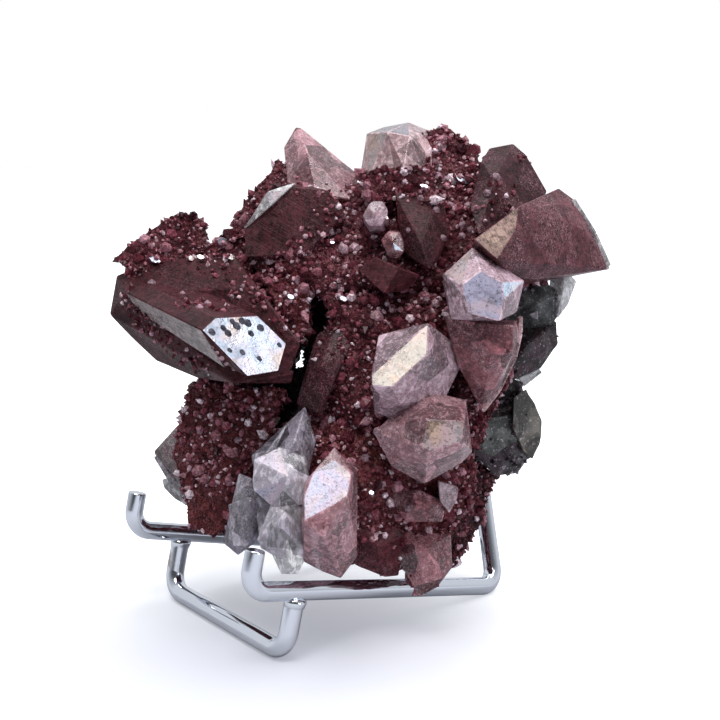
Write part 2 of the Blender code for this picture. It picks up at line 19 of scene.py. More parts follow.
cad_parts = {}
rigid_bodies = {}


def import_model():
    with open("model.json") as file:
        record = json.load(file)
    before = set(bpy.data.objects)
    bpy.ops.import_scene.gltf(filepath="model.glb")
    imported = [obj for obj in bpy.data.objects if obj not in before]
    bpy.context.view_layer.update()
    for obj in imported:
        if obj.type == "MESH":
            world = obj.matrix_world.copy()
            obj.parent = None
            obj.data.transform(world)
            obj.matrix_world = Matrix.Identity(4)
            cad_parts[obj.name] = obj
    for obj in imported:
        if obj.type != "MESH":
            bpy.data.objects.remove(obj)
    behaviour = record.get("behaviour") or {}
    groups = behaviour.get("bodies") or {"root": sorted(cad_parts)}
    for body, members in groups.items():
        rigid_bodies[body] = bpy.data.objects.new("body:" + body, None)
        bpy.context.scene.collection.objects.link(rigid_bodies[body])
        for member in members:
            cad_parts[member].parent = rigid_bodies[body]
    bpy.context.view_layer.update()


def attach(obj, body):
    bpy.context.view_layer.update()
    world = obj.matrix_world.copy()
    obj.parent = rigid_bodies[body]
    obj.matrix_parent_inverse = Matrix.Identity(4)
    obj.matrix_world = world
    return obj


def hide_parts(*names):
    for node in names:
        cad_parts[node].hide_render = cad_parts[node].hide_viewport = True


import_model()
MM = 0.001


def add_object(name, data):
    """A mesh, camera or lamp as an object of the scene."""
    made = bpy.data.objects.new(name, data)
    bpy.context.scene.collection.objects.link(made)
    return made


# %% [markdown]
# The camera stands where the photographer stood: to the right of the stand's front, a little above the
# cluster and looking slightly down. The show face of the cluster is square to it, so one turn and one lean
# describe both.

# %% Camera
FACE_TURN = math.radians(53.5)
CAMERA_PLACE = Vector((246.5, -146.55, 115.1))
CAMERA_TILT = math.radians(11.24)
CAMERA_LENS = 70.65

camera_data = bpy.data.cameras.new("camera")
camera_data.lens = CAMERA_LENS
camera = add_object("camera", camera_data)
camera.location = CAMERA_PLACE * MM
camera.rotation_euler = (math.pi / 2 - CAMERA_TILT, 0, FACE_TURN)
bpy.context.scene.camera = camera
print("camera at", [round(side) for side in CAMERA_PLACE], "mm")

# %% [markdown]
# Finishes and grown shapes are node trees. Written out node by node they are hard to read, so small classes
# help: a Value is a node's output that can be added and multiplied, Nodes makes the nodes of any tree, and
# a Finish is such a tree for a material.

# %% Values and node trees
class Value:
    """A node's output that works in sums and products."""

    def __init__(self, nodes, output):
        self.nodes, self.output = nodes, output

    def beside(self, output):
        """Another output of the same node."""
        return Value(self.nodes, self.output.node.outputs[output])

    def __add__(self, other):
        return self.nodes.maths("ADD", self, other)

    def __sub__(self, other):
        return self.nodes.maths("SUBTRACT", self, other)

    def __rsub__(self, other):
        return self.nodes.maths("SUBTRACT", other, self)

    def __mul__(self, other):
        return self.nodes.maths("MULTIPLY", self, other)

    __radd__ = __add__
    __rmul__ = __mul__


class Nodes:
    """A node tree that starts empty."""

    def __init__(self, tree):
        self.tree = tree
        tree.nodes.clear()

    def node(self, kind, settings=None, inputs=None, output=0):
        """One node, with its settings and the values or links of its sockets, as the Value of one output."""
        made = self.tree.nodes.new(kind)
        for setting, value in (settings or {}).items():
            if setting == "stops":
                self.set_stops(made.color_ramp, value)
            else:
                setattr(made, setting, value)
        for socket, value in (inputs or {}).items():
            if isinstance(value, Value):
                self.tree.links.new(value.output, made.inputs[socket])
            else:
                made.inputs[socket].default_value = value
        return Value(self, made.outputs[output]) if made.outputs else None

    def set_stops(self, ramp, stops):
        while len(ramp.elements) < len(stops):
            ramp.elements.new(1.0)
        for element, (place, colour) in zip(ramp.elements, stops):
            element.position, element.color = place, (*colour, 1.0)

    def maths(self, operation, a, b=0.0, clamp=False):
        return self.node("ShaderNodeMath", {"operation": operation, "use_clamp": clamp}, {0: a, 1: b})


# %% Finishes
class Finish(Nodes):
    """A material and the patterns that its nodes can draw."""

    def __init__(self, name):
        self.material = bpy.data.materials.new(name)
        self.material.use_nodes = True
        super().__init__(self.material.node_tree)

    def clamped(self, value):
        return self.maths("ADD", value, 0.0, clamp=True)

    def band(self, value, low, high):
        """0 below low, 1 above high, and smooth between them."""
        return self.node("ShaderNodeMapRange", {"interpolation_type": "SMOOTHSTEP"},
                         {"Value": value, "From Min": low, "From Max": high})

    def blend(self, factor, first, second):
        return self.node("ShaderNodeMix", {"data_type": "RGBA"}, {0: factor, 6: first, 7: second}, output=2)

    def tinted(self, colour, shade):
        """A colour made darker or lighter by a number."""
        return self.node("ShaderNodeVectorMath", {"operation": "SCALE"}, {0: colour, 3: shade})

    def place(self):
        """Where the surface is, in millimetres."""
        here = self.node("ShaderNodeTexCoord", output="Object")
        return self.node("ShaderNodeVectorMath", {"operation": "SCALE"}, {0: here, 3: 1 / MM})

    def grain(self, place, per_mm, detail=3.0, roughness=0.55, distortion=0.0):
        """Noise with that many waves in a millimetre."""
        return self.node("ShaderNodeTexNoise", inputs={"Vector": place, "Scale": per_mm, "Detail": detail,
                                                       "Roughness": roughness, "Distortion": distortion})

    def shards(self, place, per_mm):
        """One random tone for each of the flat-sided cells that fill the stone."""
        return self.node("ShaderNodeTexVoronoi", inputs={"Vector": place, "Scale": per_mm}, output=1)

    def cells(self, place, per_mm, feature="F1"):
        return self.node("ShaderNodeTexVoronoi", {"feature": feature}, {"Vector": place, "Scale": per_mm})

    def attribute(self, name, output="Fac"):
        return self.node("ShaderNodeAttribute", {"attribute_name": name}, output=output)

    def bump(self, height, depth_mm, strength=1.0, under=None):
        inputs = {"Height": height, "Distance": depth_mm * MM, "Strength": strength}
        if under:
            inputs["Normal"] = under
        return self.node("ShaderNodeBump", inputs=inputs)

    def principled(self, **sockets):
        named = {socket.replace("_", " "): value for socket, value in sockets.items()}
        return self.node("ShaderNodeBsdfPrincipled", inputs=named)

    def mix(self, factor, first, second):
        return self.node("ShaderNodeMixShader", inputs={0: factor, 1: first, 2: second})

    def surface(self, shader, **volume):
        self.node("ShaderNodeOutputMaterial", inputs={"Surface": shader, **volume})
        print("finish", self.material.name, "with", len(self.tree.nodes), "nodes")
        return self.material


# %% [markdown]
# The stand is one 4 mm steel wire, bent round a former into the frame, with a second bent wire welded under
# it as a foot. A wire is a line with a round section, so Geometry Nodes make it: the corners become a
# curve, Fillet Curve rounds each corner by the radius stored on it, and Curve to Mesh gives the line its
# thickness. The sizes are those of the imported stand, so the smooth wire lies exactly in its place.

# %% Sizes of the stand
WIRE_RADIUS = 2.0
RAIL_LENGTH = 72.5
RAIL_SLOPE = math.radians(13.0)
RAIL_SPLAY = math.radians(5.5)
REAR_SPACING = 34.6
HOOK_HEIGHT = 8.4
LOOP_HEIGHT = 30.0
LOOP_INWARD = math.radians(26.7)
LOOP_BACKWARD = math.radians(12.5)
WELD_BEHIND_HOOK = 12.5
BEND_RADIUS = 4.5
LOOP_TOP_RADIUS = 1.6
BEND_STEPS = 14
WIRE_SIDES = 40
END_CHAMFER = 0.35

uphill = Vector((0, -math.cos(RAIL_SLOPE), math.sin(RAIL_SLOPE)))
upright = Vector((0, math.sin(RAIL_SLOPE), math.cos(RAIL_SLOPE)))


def frame_corners(rear):
    """The frame wire's corners from the hook at +X round to the hook at -X."""
    front = rear + RAIL_LENGTH * uphill + Vector((RAIL_LENGTH * math.sin(RAIL_SPLAY), 0, 0))
    inward = LOOP_HEIGHT * math.tan(LOOP_INWARD)
    top = rear + Vector((-inward, LOOP_HEIGHT * math.tan(LOOP_BACKWARD), LOOP_HEIGHT))
    half = [front + HOOK_HEIGHT * upright, front, rear, top]
    return half + [Vector((-corner.x, corner.y, corner.z)) for corner in reversed(half)]


REAR_CORNER = Vector((REAR_SPACING / 2, 61.45, 1.12))
frame_line = frame_corners(REAR_CORNER)
weld_point = frame_line[1] + (REAR_CORNER - frame_line[1]).normalized() * WELD_BEHIND_HOOK
foot_corner = weld_point - upright * (weld_point.z - WIRE_RADIUS) / math.cos(RAIL_SLOPE)
foot_line = [weld_point - upright * WIRE_RADIUS, foot_corner]
foot_line += [Vector((-corner.x, corner.y, corner.z)) for corner in reversed(foot_line)]

# %% A tree that changes a mesh
class Modifier(Nodes):
    """A Geometry Nodes tree with named inputs, one of which is the finish of what it makes."""

    def __init__(self, name, sockets):
        super().__init__(bpy.data.node_groups.new(name, "GeometryNodeTree"))
        for way in ("INPUT", "OUTPUT"):
            self.tree.interface.new_socket("Geometry", in_out=way, socket_type="NodeSocketGeometry")
        for socket_name, socket_kind in (*sockets.items(), ("Finish", "Material")):
            self.tree.interface.new_socket(socket_name, in_out="INPUT",
                                           socket_type="NodeSocket" + socket_kind)
        self.entry = self.tree.nodes.new("NodeGroupInput")

    def given(self, name):
        """The value of one of the tree's inputs."""
        return Value(self, self.entry.outputs[name])

    def named(self, attribute):
        """A number that is stored on the mesh."""
        return self.node("GeometryNodeInputNamedAttribute", {"data_type": "FLOAT"}, {"Name": attribute},
                         output="Attribute")

    def give(self, geometry):
        """Ends the tree: what it made becomes a real mesh and takes the finish."""
        real = self.node("GeometryNodeRealizeInstances", inputs={0: geometry})
        coated = self.node("GeometryNodeSetMaterial", inputs={0: real, "Material": self.given("Finish")})
        self.node("NodeGroupOutput", inputs={0: coated})
        print(self.tree.name, "has", len(self.tree.nodes), "nodes")

    def run(self, name, mesh, values):
        """What the tree makes of a mesh, as a plain mesh."""
        carrier = add_object(name, mesh)
        modifier = carrier.modifiers.new(self.tree.name, "NODES")
        modifier.node_group = self.tree
        for socket in self.tree.interface.items_tree:
            if socket.in_out == "INPUT" and socket.name in values:
                modifier[socket.identifier] = values[socket.name]
        bpy.context.view_layer.update()
        settled = carrier.evaluated_get(bpy.context.evaluated_depsgraph_get())
        made = bpy.data.meshes.new_from_object(settled)
        bpy.data.objects.remove(carrier)
        return made


wire = Modifier("bent_wire", {"Wire radius": "Float", "Sides": "Int", "Bend steps": "Int"})
wire_line = wire.node("GeometryNodeMeshToCurve", inputs={0: wire.given("Geometry")})
wire_bent = wire.node("GeometryNodeFilletCurve", {"mode": "POLY"},
                      {"Curve": wire_line, "Count": wire.given("Bend steps"), "Radius": wire.named("bend"),
                       "Limit Radius": True})
wire_section = wire.node("GeometryNodeCurvePrimitiveCircle", output="Curve",
                         inputs={"Resolution": wire.given("Sides"), "Radius": wire.given("Wire radius")})
wire.give(wire.node("GeometryNodeCurveToMesh",
                    inputs={"Curve": wire_bent, "Profile Curve": wire_section, "Fill Caps": True}))

# %% [markdown]
# Chrome plating mirrors the room, so its look is mostly the lights. What the plating adds is a faint cool
# tint, a roughness that changes a little along the wire, and one brown stain where rust came through on the
# far leg.

# %% Chrome
STAIN_PLACE = Vector((-24.5, 0.6, 8.5))
STAIN_REACH = 3.2

chrome = Finish("chrome_plating")
chrome_place = chrome.place()
from_stain = chrome.node("ShaderNodeVectorMath", {"operation": "DISTANCE"}, {0: chrome_place, 1: STAIN_PLACE},
                         output="Value")
stain_edge = chrome.grain(chrome_place, 0.9) * 3.0
stain = 1 - chrome.band(from_stain + stain_edge, STAIN_REACH * 0.6, STAIN_REACH * 1.5)
haze = chrome.grain(chrome_place, 0.25)
scuffs = chrome.grain(chrome_place, 3.0, detail=6.0)
chrome_colour = chrome.blend(stain, (0.78, 0.81, 0.88, 1), (0.2, 0.09, 0.04, 1))
chrome_skin = chrome.principled(
    Base_Color=chrome_colour, Metallic=1 - stain * 0.7,
    Roughness=0.05 + haze * 0.06 + stain * 0.35,
    Normal=chrome.bump(scuffs, 0.004, 0.5))
chrome_finish = chrome.surface(chrome_skin)

# %% Bend both wires
SAME_POINT = 0.001


def bent_wire(name, corners, radii):
    """A solid wire along corners that are each rounded by their own radius, with chamfered ends."""
    line = bpy.data.meshes.new(name)
    line.from_pydata([corner * MM for corner in corners], [(i, i + 1) for i in range(len(corners) - 1)], [])
    bend = line.attributes.new("bend", "FLOAT", "POINT")
    bend.data.foreach_set("value", [radius * MM for radius in radii])
    mesh = wire.run(name, line, {"Wire radius": WIRE_RADIUS * MM, "Sides": WIRE_SIDES,
                                 "Bend steps": BEND_STEPS, "Finish": chrome_finish})
    bm = bmesh.new()
    bm.from_mesh(mesh)
    bmesh.ops.remove_doubles(bm, verts=bm.verts, dist=SAME_POINT * MM)
    bmesh.ops.recalc_face_normals(bm, faces=bm.faces)
    ends = [face for face in bm.faces if len(face.verts) == WIRE_SIDES]
    rims = [edge for face in ends for edge in face.edges]
    bmesh.ops.bevel(bm, geom=rims, offset=END_CHAMFER * MM, segments=3, profile=0.5, affect="EDGES")
    for face in bm.faces:
        face.smooth = len(face.verts) == 4
    bm.to_mesh(mesh)
    bm.free()
    print(name, len(mesh.polygons), "faces")
    return add_object(name, mesh)


frame_radii = [0, BEND_RADIUS, BEND_RADIUS, LOOP_TOP_RADIUS, LOOP_TOP_RADIUS, BEND_RADIUS, BEND_RADIUS, 0]
frame_wire = bent_wire("frame_wire", frame_line, frame_radii)
foot_wire = bent_wire("foot_wire", foot_line, [0, BEND_RADIUS, BEND_RADIUS, 0])

# %% [markdown]
# The foot is welded to the frame under each rail. A weld is a puddle that froze: a low collar that runs up
# onto the rail. A ring of points round the leg, wider at the top than at the bottom and a little uneven,
# gives that shape.

# %% Weld beads
BEAD_SIDES = 28
BEAD_START = 0.45
# How far down the leg, and how far out.
BEAD_RINGS = [(0.3, 1.5), (0.9, 2.25), (1.4, 2.3), (1.9, 2.15), (2.4, 2.06), (2.6, 1.7)]
BEAD_UNEVEN = 0.16
BEAD_LUMPS = 1.3


def weld_bead(name, top):
    """A collar round the leg that starts inside the rail, whose middle is at top."""
    bm = bmesh.new()
    start = top - upright * (WIRE_RADIUS * BEAD_START)
    across = Vector((1, 0, 0))
    along = upright.cross(across)
    rings = []
    for drop, reach in BEAD_RINGS:
        ring = []
        for side in range(BEAD_SIDES):
            angle = 2 * math.pi * side / BEAD_SIDES
            direction = math.cos(angle) * across + math.sin(angle) * along
            wobble = 1 + BEAD_UNEVEN * noise.noise(direction * BEAD_LUMPS + top * 0.1)
            ring.append(bm.verts.new((start - upright * drop + direction * reach * wobble) * MM))
        rings.append(ring)
    for ring, below in zip(rings, rings[1:]):
        for side in range(BEAD_SIDES):
            beside = (side + 1) % BEAD_SIDES
            bm.faces.new((ring[side], ring[beside], below[beside], below[side]))
    bm.faces.new(rings[0])
    bm.faces.new(rings[-1])
    bmesh.ops.recalc_face_normals(bm, faces=bm.faces)
    for face in bm.faces:
        face.smooth = True
    mesh = bpy.data.meshes.new(name)
    bm.to_mesh(mesh)
    bm.free()
    mesh.materials.append(chrome_finish)
    return add_object(name, mesh)


near_bead = weld_bead("weld_bead_near", weld_point)
far_bead = weld_bead("weld_bead_far", Vector((-weld_point.x, weld_point.y, weld_point.z)))
for piece in (frame_wire, foot_wire, near_bead, far_bead):
    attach(piece, "root")
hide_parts("stand_frame")
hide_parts("stand_foot")

# %% [markdown]
# A quartz crystal is a convex solid with flat faces, so a few corners say all of its shape. The corners are
# given as (across, back, up) in millimetres from the middle of the show face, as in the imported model:
# across and up lie in the view, and back points away from the viewer. Each corner list is stretched over
# with a convex hull.

# %% The show face and the shapes of crystals
FACE_CENTRE = Vector((10.0, 28.4, 56.4))
FACE_LEAN = math.radians(-11.2)
FLAT_ENOUGH = math.radians(3.0)

face_turned = Matrix.Rotation(FACE_TURN, 4, "Z") @ Matrix.Rotation(FACE_LEAN, 4, "X")
show_face = Matrix.Translation(FACE_CENTRE) @ face_turned


def facet(back, outline, across=0.0, up=0.0):
    """A flat crystal face: its outline seen from the front, its depth, and its slope across and up."""
    middle_x = sum(x for x, z in outline) / len(outline)
    middle_z = sum(z for x, z in outline) / len(outline)
    return [(x, back + across * (x - middle_x) + up * (z - middle_z), z) for x, z in outline]


def root(back, outline, shrink):
    """Where a crystal ends inside the mass: its outline drawn in towards the middle."""
    middle_x = sum(x for x, z in outline) / len(outline)
    middle_z = sum(z for x, z in outline) / len(outline)
    return [(middle_x + shrink * (x - middle_x), back, middle_z + shrink * (z - middle_z))
            for x, z in outline]


def quartz(base, tip, width, turn, point=1.1):
    """The corners of a six-sided prism that ends in a six-sided point."""
    base, tip = Vector(base), Vector(tip)
    axis = (tip - base).normalized()
    side = Matrix.Rotation(turn, 3, axis) @ axis.orthogonal().normalized()
    other = axis.cross(side)
    shoulder = tip - axis * point * width / 2
    corners = [tip]
    for corner in range(6):
        reach = width / 2 * (math.cos(math.pi * corner / 3) * side + math.sin(math.pi * corner / 3) * other)
        corners.append(shoulder + reach)
        corners.append(base + reach)
    return corners


def on_face(corners, across, up):
    """The point of a flat face that is seen there from the front, and the way the face looks."""
    first, second, third = (Vector(corner) for corner in corners[:3])
    outward = (second - first).cross(third - first).normalized()
    if outward.y > 0:
        outward = -outward
    back = first.y - ((across - first.x) * outward.x + (up - first.z) * outward.z) / outward.y
    return Vector((across, back, up)), outward


def strip(start, end, width, depth):
    """The corners of a thin straight splinter that runs from start to end and goes back by depth."""
    start, end = Vector(start), Vector(end)
    side = (end - start).cross(Vector((0, 1, 0))).normalized() * width / 2
    behind = Vector((0, depth, 0))
    offsets = (side, -side, side + behind, -side + behind)
    return [corner + offset for corner in (start, end) for offset in offsets]


# %% [markdown]
# Every crystal belongs to a kind, and the kind says how it is finished: how dark and how red it is, how
# much its faces are frosted, and whether druse grows on it. Single faces that look different, such as the
# bright ones that mirror the lamps, are named by a point on them and take a look of their own. The pale
# tints of the faces that mirror a lamp are partly a painted highlight on top of the real reflection, the
# grey looks are a painted sheen, and the faces of the pale prism at the top carry painted light and shade.

# %% Kinds of crystal
class Kind:
    """How one sort of crystal looks and how its surface is broken up."""

    def __init__(self, group, tint, frost=0.0, druse=0.0, lumps=0.0, lump_size=6.0, chip=0.3):
        self.group, self.tint, self.frost, self.druse = group, tint, frost, druse
        self.lumps, self.lump_size, self.chip = lumps, lump_size, chip


KINDS = {
    "maroon": Kind("dark", (0.036, 0.008, 0.012), frost=0.8),
    "brown": Kind("dark", (0.052, 0.012, 0.016), frost=0.3),
    "mauve": Kind("dark", (0.090, 0.026, 0.034), frost=1.0),
    "pale_grain": Kind("dark", (0.26, 0.17, 0.205), frost=1.0, chip=0.1),
    "dark_grain": Kind("dark", (0.085, 0.085, 0.115), frost=0.2, chip=0.1),
    "crust": Kind("ground", (0.070, 0.015, 0.021), druse=1.0, lumps=1.1),
    "red_crust": Kind("ground", (0.085, 0.015, 0.016), druse=1.0, lumps=1.0),
    "black_crust": Kind("ground", (0.026, 0.009, 0.013), druse=0.75, lumps=1.2),
    "rock": Kind("rock", (0.058, 0.038, 0.045), druse=0.3, lumps=1.3, lump_size=5.0, chip=0.5),
    "dark_rock": Kind("rock", (0.034, 0.021, 0.027), druse=0.55, lumps=0.35, lump_size=4.0, chip=0.4),
    "wine": Kind("dark", (0.078, 0.014, 0.020), frost=0.7, druse=-0.2),
    "olive_glass": Kind("pink", (0.085, 0.062, 0.058), frost=0.75, druse=-0.3),
    "glassy_rock": Kind("rock", (0.020, 0.008, 0.012), druse=0.08, lumps=0.2, lump_size=4.0, chip=0.4),
    "green_rock": Kind("rock", (0.040, 0.042, 0.042), frost=0.3, druse=0.1, lumps=0.3, lump_size=4.0,
                       chip=0.4),
    "olive_rock": Kind("rock", (0.088, 0.080, 0.070), frost=0.5, druse=0.05, lumps=0.25, lump_size=4.0,
                       chip=0.4),
    "clear": Kind("clear", (0.47, 0.43, 0.50), frost=0.66, druse=-0.4),
    "milky": Kind("clear", (1.0, 0.97, 1.0), frost=0.85, druse=-0.4),
    "grey_clear": Kind("clear", (0.54, 0.53, 0.54), frost=0.55, druse=-0.8),
    "pink": Kind("pink", (0.38, 0.20, 0.23), frost=0.8),
    "blush": Kind("pink", (0.56, 0.40, 0.42), frost=0.75),
    "lilac": Kind("pink", (0.46, 0.33, 0.39), frost=0.85),
    "red": Kind("pink", (0.28, 0.105, 0.125), frost=0.8),
    "smoky": Kind("clear", (0.20, 0.175, 0.225), frost=0.75, druse=-0.3),
}

# The colour of a single face, how frosted it is, and how much it shines like a mirror.
FACE_LOOKS = {
    # Mirror, glint, cream, tan, pearl and blue frost: pale tints that are partly a painted highlight, on faces
    # that also mirror a lamp.
    "mirror": ((0.41, 0.41, 0.445), 1.0, 0.85),
    "glint": ((0.95, 0.95, 1.0), 1.0, 0.9),
    "cream": ((0.50, 0.40, 0.325), 1.0, 0.11),
    "tan": ((0.50, 0.38, 0.36), 0.9, 0.08),
    "deep_tan": ((0.27, 0.19, 0.155), 0.9, 0.04),
    "pearl": ((0.42, 0.375, 0.45), 0.9, 0.13),
    # A grey tint that is a painted sheen, on the blade's bands and the upper left prism.
    "sheen": ((0.335, 0.280, 0.275), 0.2, 0.12),
    # A grey tint that is a painted sheen, on the pale prism's tops and on a pale edge.
    "ash": ((0.35, 0.29, 0.31), 0.8, 0.08),
    # The next three are faces of the pale top prism in painted light and shade: half shaded, in shade, and lit.
    "rose": ((0.27, 0.15, 0.155), 0.7, 0.02),
    "dusk": ((0.13, 0.062, 0.068), 0.7, 0.02),
    "blush_white": ((0.46, 0.37, 0.35), 0.8, 0.06),
    # A grey-brown tint that is a painted sheen, on the blade's lower bands.
    "dull": ((0.10, 0.066, 0.064), 0.5, 0.05),
    "lilac_frost": ((0.48, 0.42, 0.51), 0.9, 0.08),
    "blue_frost": ((0.72, 0.78, 0.88), 0.9, 0.25),
}
print(len(KINDS), "kinds and", len(FACE_LOOKS), "single-face looks")

# %% A crystal and the list of them
crystals = []


class Crystal:
    """One crystal: its corners, its kind, its odd faces, and the way that its fine grooves run across."""

    def __init__(self, name, kind, *corner_groups, faces=(), grooves=(0, 0, 1)):
        self.name, self.kind = name, KINDS[kind]
        self.corners = [Vector(corner) for group in corner_groups for corner in group]
        self.faces, self.grooves = faces, Vector(grooves).normalized()
        crystals.append(self)


def prism(name, kind, outline, front, back, shrink, more=(), across=0.0, up=0.0, **rest):
    """A crystal with one outline: sloped at the front, and drawn in where it ends inside the mass."""
    Crystal(name, kind, facet(front, outline, across, up), more, root(back, outline, shrink), **rest)


def rim(name, kind, points, width, depth):
    """A thin edge along some points, as a splinter from each to the next."""
    for number, (start, end) in enumerate(zip(points, points[1:])):
        Crystal(f"{name}_{number}", kind, strip(start, end, width, depth))


# %% [markdown]
# The big crystals come first, from the left to the right. The blade at the left is the largest: a dark
# prism that lies on its side, whose bright six-sided end face mirrors the lamp. That face is also tinted
# pale, which is partly a painted highlight, and the grey bands along the blade's sides are a painted sheen.

# %% Crystals of the left half
bright_hexagon = [(-30.5, 6), (-28, 8.5), (-20, 9), (-14.5, 3.5), (-16, -2), (-22, -3), (-25, 0.5)]
blade_end = facet(-24, bright_hexagon, across=0.45, up=0.05)
BLADE_RUN = Vector((-19, 26.5, 8.5))
blade_far_end = [Vector(corner) + BLADE_RUN for corner in blade_end]
Crystal("left_blade", "brown", blade_end, blade_far_end,
        faces=[(-22, -24, 3, "mirror"), (-37, -13, 7.5, "sheen"), (-33, -12, 3, "dull")],
        grooves=(0.3, 0.0, 1.0))
Crystal("blade_body", "brown",
        [(-49.5, 0, 14.5), (-52.5, 5, 18.5), (-43.5, 4, 22), (-26, -3, 22), (-21, -11, 15)],
        [(-12, -16, 3.5), (-13.5, -15, -2.5), (-14, -13, -4.5), (-25.5, -14, -4.5)],
        [(-54, 5, 10), (-48.5, 4, 4.5), (-43.5, 2, 0), (-37.5, -3, -2), (-34, -6, -3.5)],
        [(-44, 12, 15), (-32, 14, 6), (-20, 12, 12)], faces=[(-46, 1, 7, "dull"), (-38, -6, 0, "dull")],
        grooves=(0.3, 0.0, 1.0))
Crystal("blade_side", "brown",
        [(-30.6, -27.8, 6), (-25.2, -25.5, 0.3), (-26.2, -24.4, -1.4), (-49.6, -1.3, 14.5),
         (-47, 0.2, 10.5)], [(-28, -12, 2), (-44, 8, 12)],
        faces=[(-51, 2, 14, "sheen"), (-35, -18, 6.9, "sheen"), (-34, -16, 4, "sheen"),
               (-38, -13, 7.5, "sheen")], grooves=(0.3, 0.0, 1.0))
blade_face_grains = [(-24.1, 7.0, 1.8), (-23.1, 8.0, 1.6), (-22.0, 7.6, 1.8), (-19.6, 6.7, 1.7),
                     (-21.4, 5.6, 1.3), (-25.7, 5.6, 1.6), (-28.7, 5.8, 1.5), (-25.4, 2.3, 1.0),
                     (-23.0, 1.9, 1.2), (-16.0, 3.4, 1.0), (-19.8, 0.7, 1.0), (-26.6, 6.6, 1.2),
                     (-24.9, 7.9, 1.2)]
for number, (across, up, width) in enumerate(blade_face_grains):
    foot, outward = on_face(blade_end, across, up)
    Crystal(f"blade_face_grain_{number}", "dark_grain",
            quartz(foot - outward, foot + outward * 0.2, width * 0.8, number, 0.0),
            quartz(foot - outward + Vector((0.35, 0, -0.3)), foot + Vector((0.45, -0.1, -0.4)), width * 0.6,
                   1.7 * number, 0.0))

prism("upper_left_prism", "brown",
      [(-24, 28), (-15.5, 36.5), (-6.5, 35.5), (-3, 30.5), (-11, 22), (-23.5, 21.5)], -7, 12, 0.7,
      [(-24.3, -3, 28), (-20.3, -1, 34), (-16, -1, 37.5), (-13.5, -2, 37.7)], across=-0.05, up=0.15,
      faces=[(-20, -4, 33, "sheen")], grooves=(0.6, 0, 1.0))
# A pale splinter on the upper left prism's edge; the grey-white of its face is a painted sheen.
Crystal("pale_facet", "grey_clear",
        [(-24.3, -7.2, 27.0), (-19.2, -6.2, 35.4), (-13.2, -5.6, 37.4), (-14.9, -6.8, 35.6),
         (-18.8, -7.6, 31.9)], [(-20, -3, 32), (-15, -3, 35)], faces=[(-18, -7, 33.6, "ash")])
Crystal("pink_tip", "pink", [(-14, 8, 51), (-12.8, 8, 50.8), (-16.5, 7, 46.5), (-6.5, 7, 44), (0, 8, 40.5)],
        [(-15.5, 1, 38), (-11, 0, 44), (-9, -4, 35), (-2, -3, 34)],
        [(-13, 16, 38), (-3, 17, 37), (-9, 14, 45), (-9, 16, 28)])

prism("clear_spike", "smoky",
      [(-11.2, -9.3), (-14.9, -13), (-18.5, -17.4), (-22, -19.1), (-20.7, -25.3), (-17.8, -29),
       (-12.8, -24.3), (-10.2, -22.1), (-8.9, -16.2)], -14, 4, 0.8, [(-13, -19, -16), (-17, -20, -23)],
      up=0.35)
prism("clear_foot", "milky",
      [(-17.4, -28.3), (-19.6, -34.3), (-17.6, -38.2), (-15.7, -42.5), (-12.4, -42.5), (-10.9, -39.6),
       (-10.9, -31.3), (-13.9, -26.9)], -18, 2, 0.75, [(-15, -23, -31), (-14, -21, -39)], across=-0.1)
prism("clear_wedge", "clear",
      [(-20.4, -35.4), (-17.6, -28.4), (-12, -27.4), (-10.4, -31.7), (-10.6, -38), (-15.8, -39.2)], -20, 2,
      0.8, [(-15, -23.5, -31)], across=0.15, up=0.1)
prism("pale_patch", "clear",
      [(-21, -19.5), (-16, -17), (-11, -19), (-9.8, -24), (-10.6, -28.4), (-17, -29), (-21, -25.5)], -19.5,
      2, 0.85, [(-14, -22, -23)], across=0.1, up=0.15,
      faces=[(-15, -21, -24, "pearl"), (-17, -21, -21, "pearl")])
prism("clear_mass", "clear",
      [(-21, -18.5), (-15, -17.5), (-11, -19), (-10, -26), (-12, -38), (-16.5, -39.5), (-20, -37.5),
       (-20, -29), (-21.5, -24)], -16.5, 0, 0.85)
prism("violet_wedge", "clear", [(-26.6, -29), (-23, -27.5), (-21.5, -33), (-22.5, -37.2), (-25.5, -37.4)],
      -15, 4, 0.8, across=-0.2)
prism("smoky_prism", "smoky",
      [(-24.7, -22.8), (-25.9, -28.9), (-26.9, -35), (-27.9, -37), (-24.7, -39.4), (-20.5, -36.2),
       (-17.8, -29.3), (-20.6, -24.3)], -13, 4, 0.8, [(-22, -18, -28), (-22, -16.5, -35)], across=-0.3,
      up=0.1)
Crystal("blue_sliver", "clear",
        [(-14.6, -17, -12.6), (-18.9, -18.2, -18.4), (-17.3, -18.8, -18.8), (-15.7, -18.8, -14.8)],
        [(-16, -12, -14), (-17, -12, -19)], faces=[(-16.6, -18.3, -16, "blue_frost")])
Crystal("left_corner_edge", "clear", strip((-44.9, 12, -20.8), (-40.6, 8, -26.6), 1.6, 4))
Crystal("left_corner", "olive_glass",
        [(-45.7, 13, -20), (-39.9, 9, -14), (-43.6, 13, -24.6), (-39, 5, -26), (-38, 4, -17)],
        [(-34, 18, -16), (-34, 20, -26)])
Crystal("left_flake", "grey_clear",
        [(-44.2, 15, -26.4), (-43.7, 15, -28.4), (-41.4, 14, -30.5), (-38.3, 12, -32)],
        [(-38, 8, -26), (-34, 20, -24), (-34, 20, -32)])
print(len(crystals), "crystals on the left")
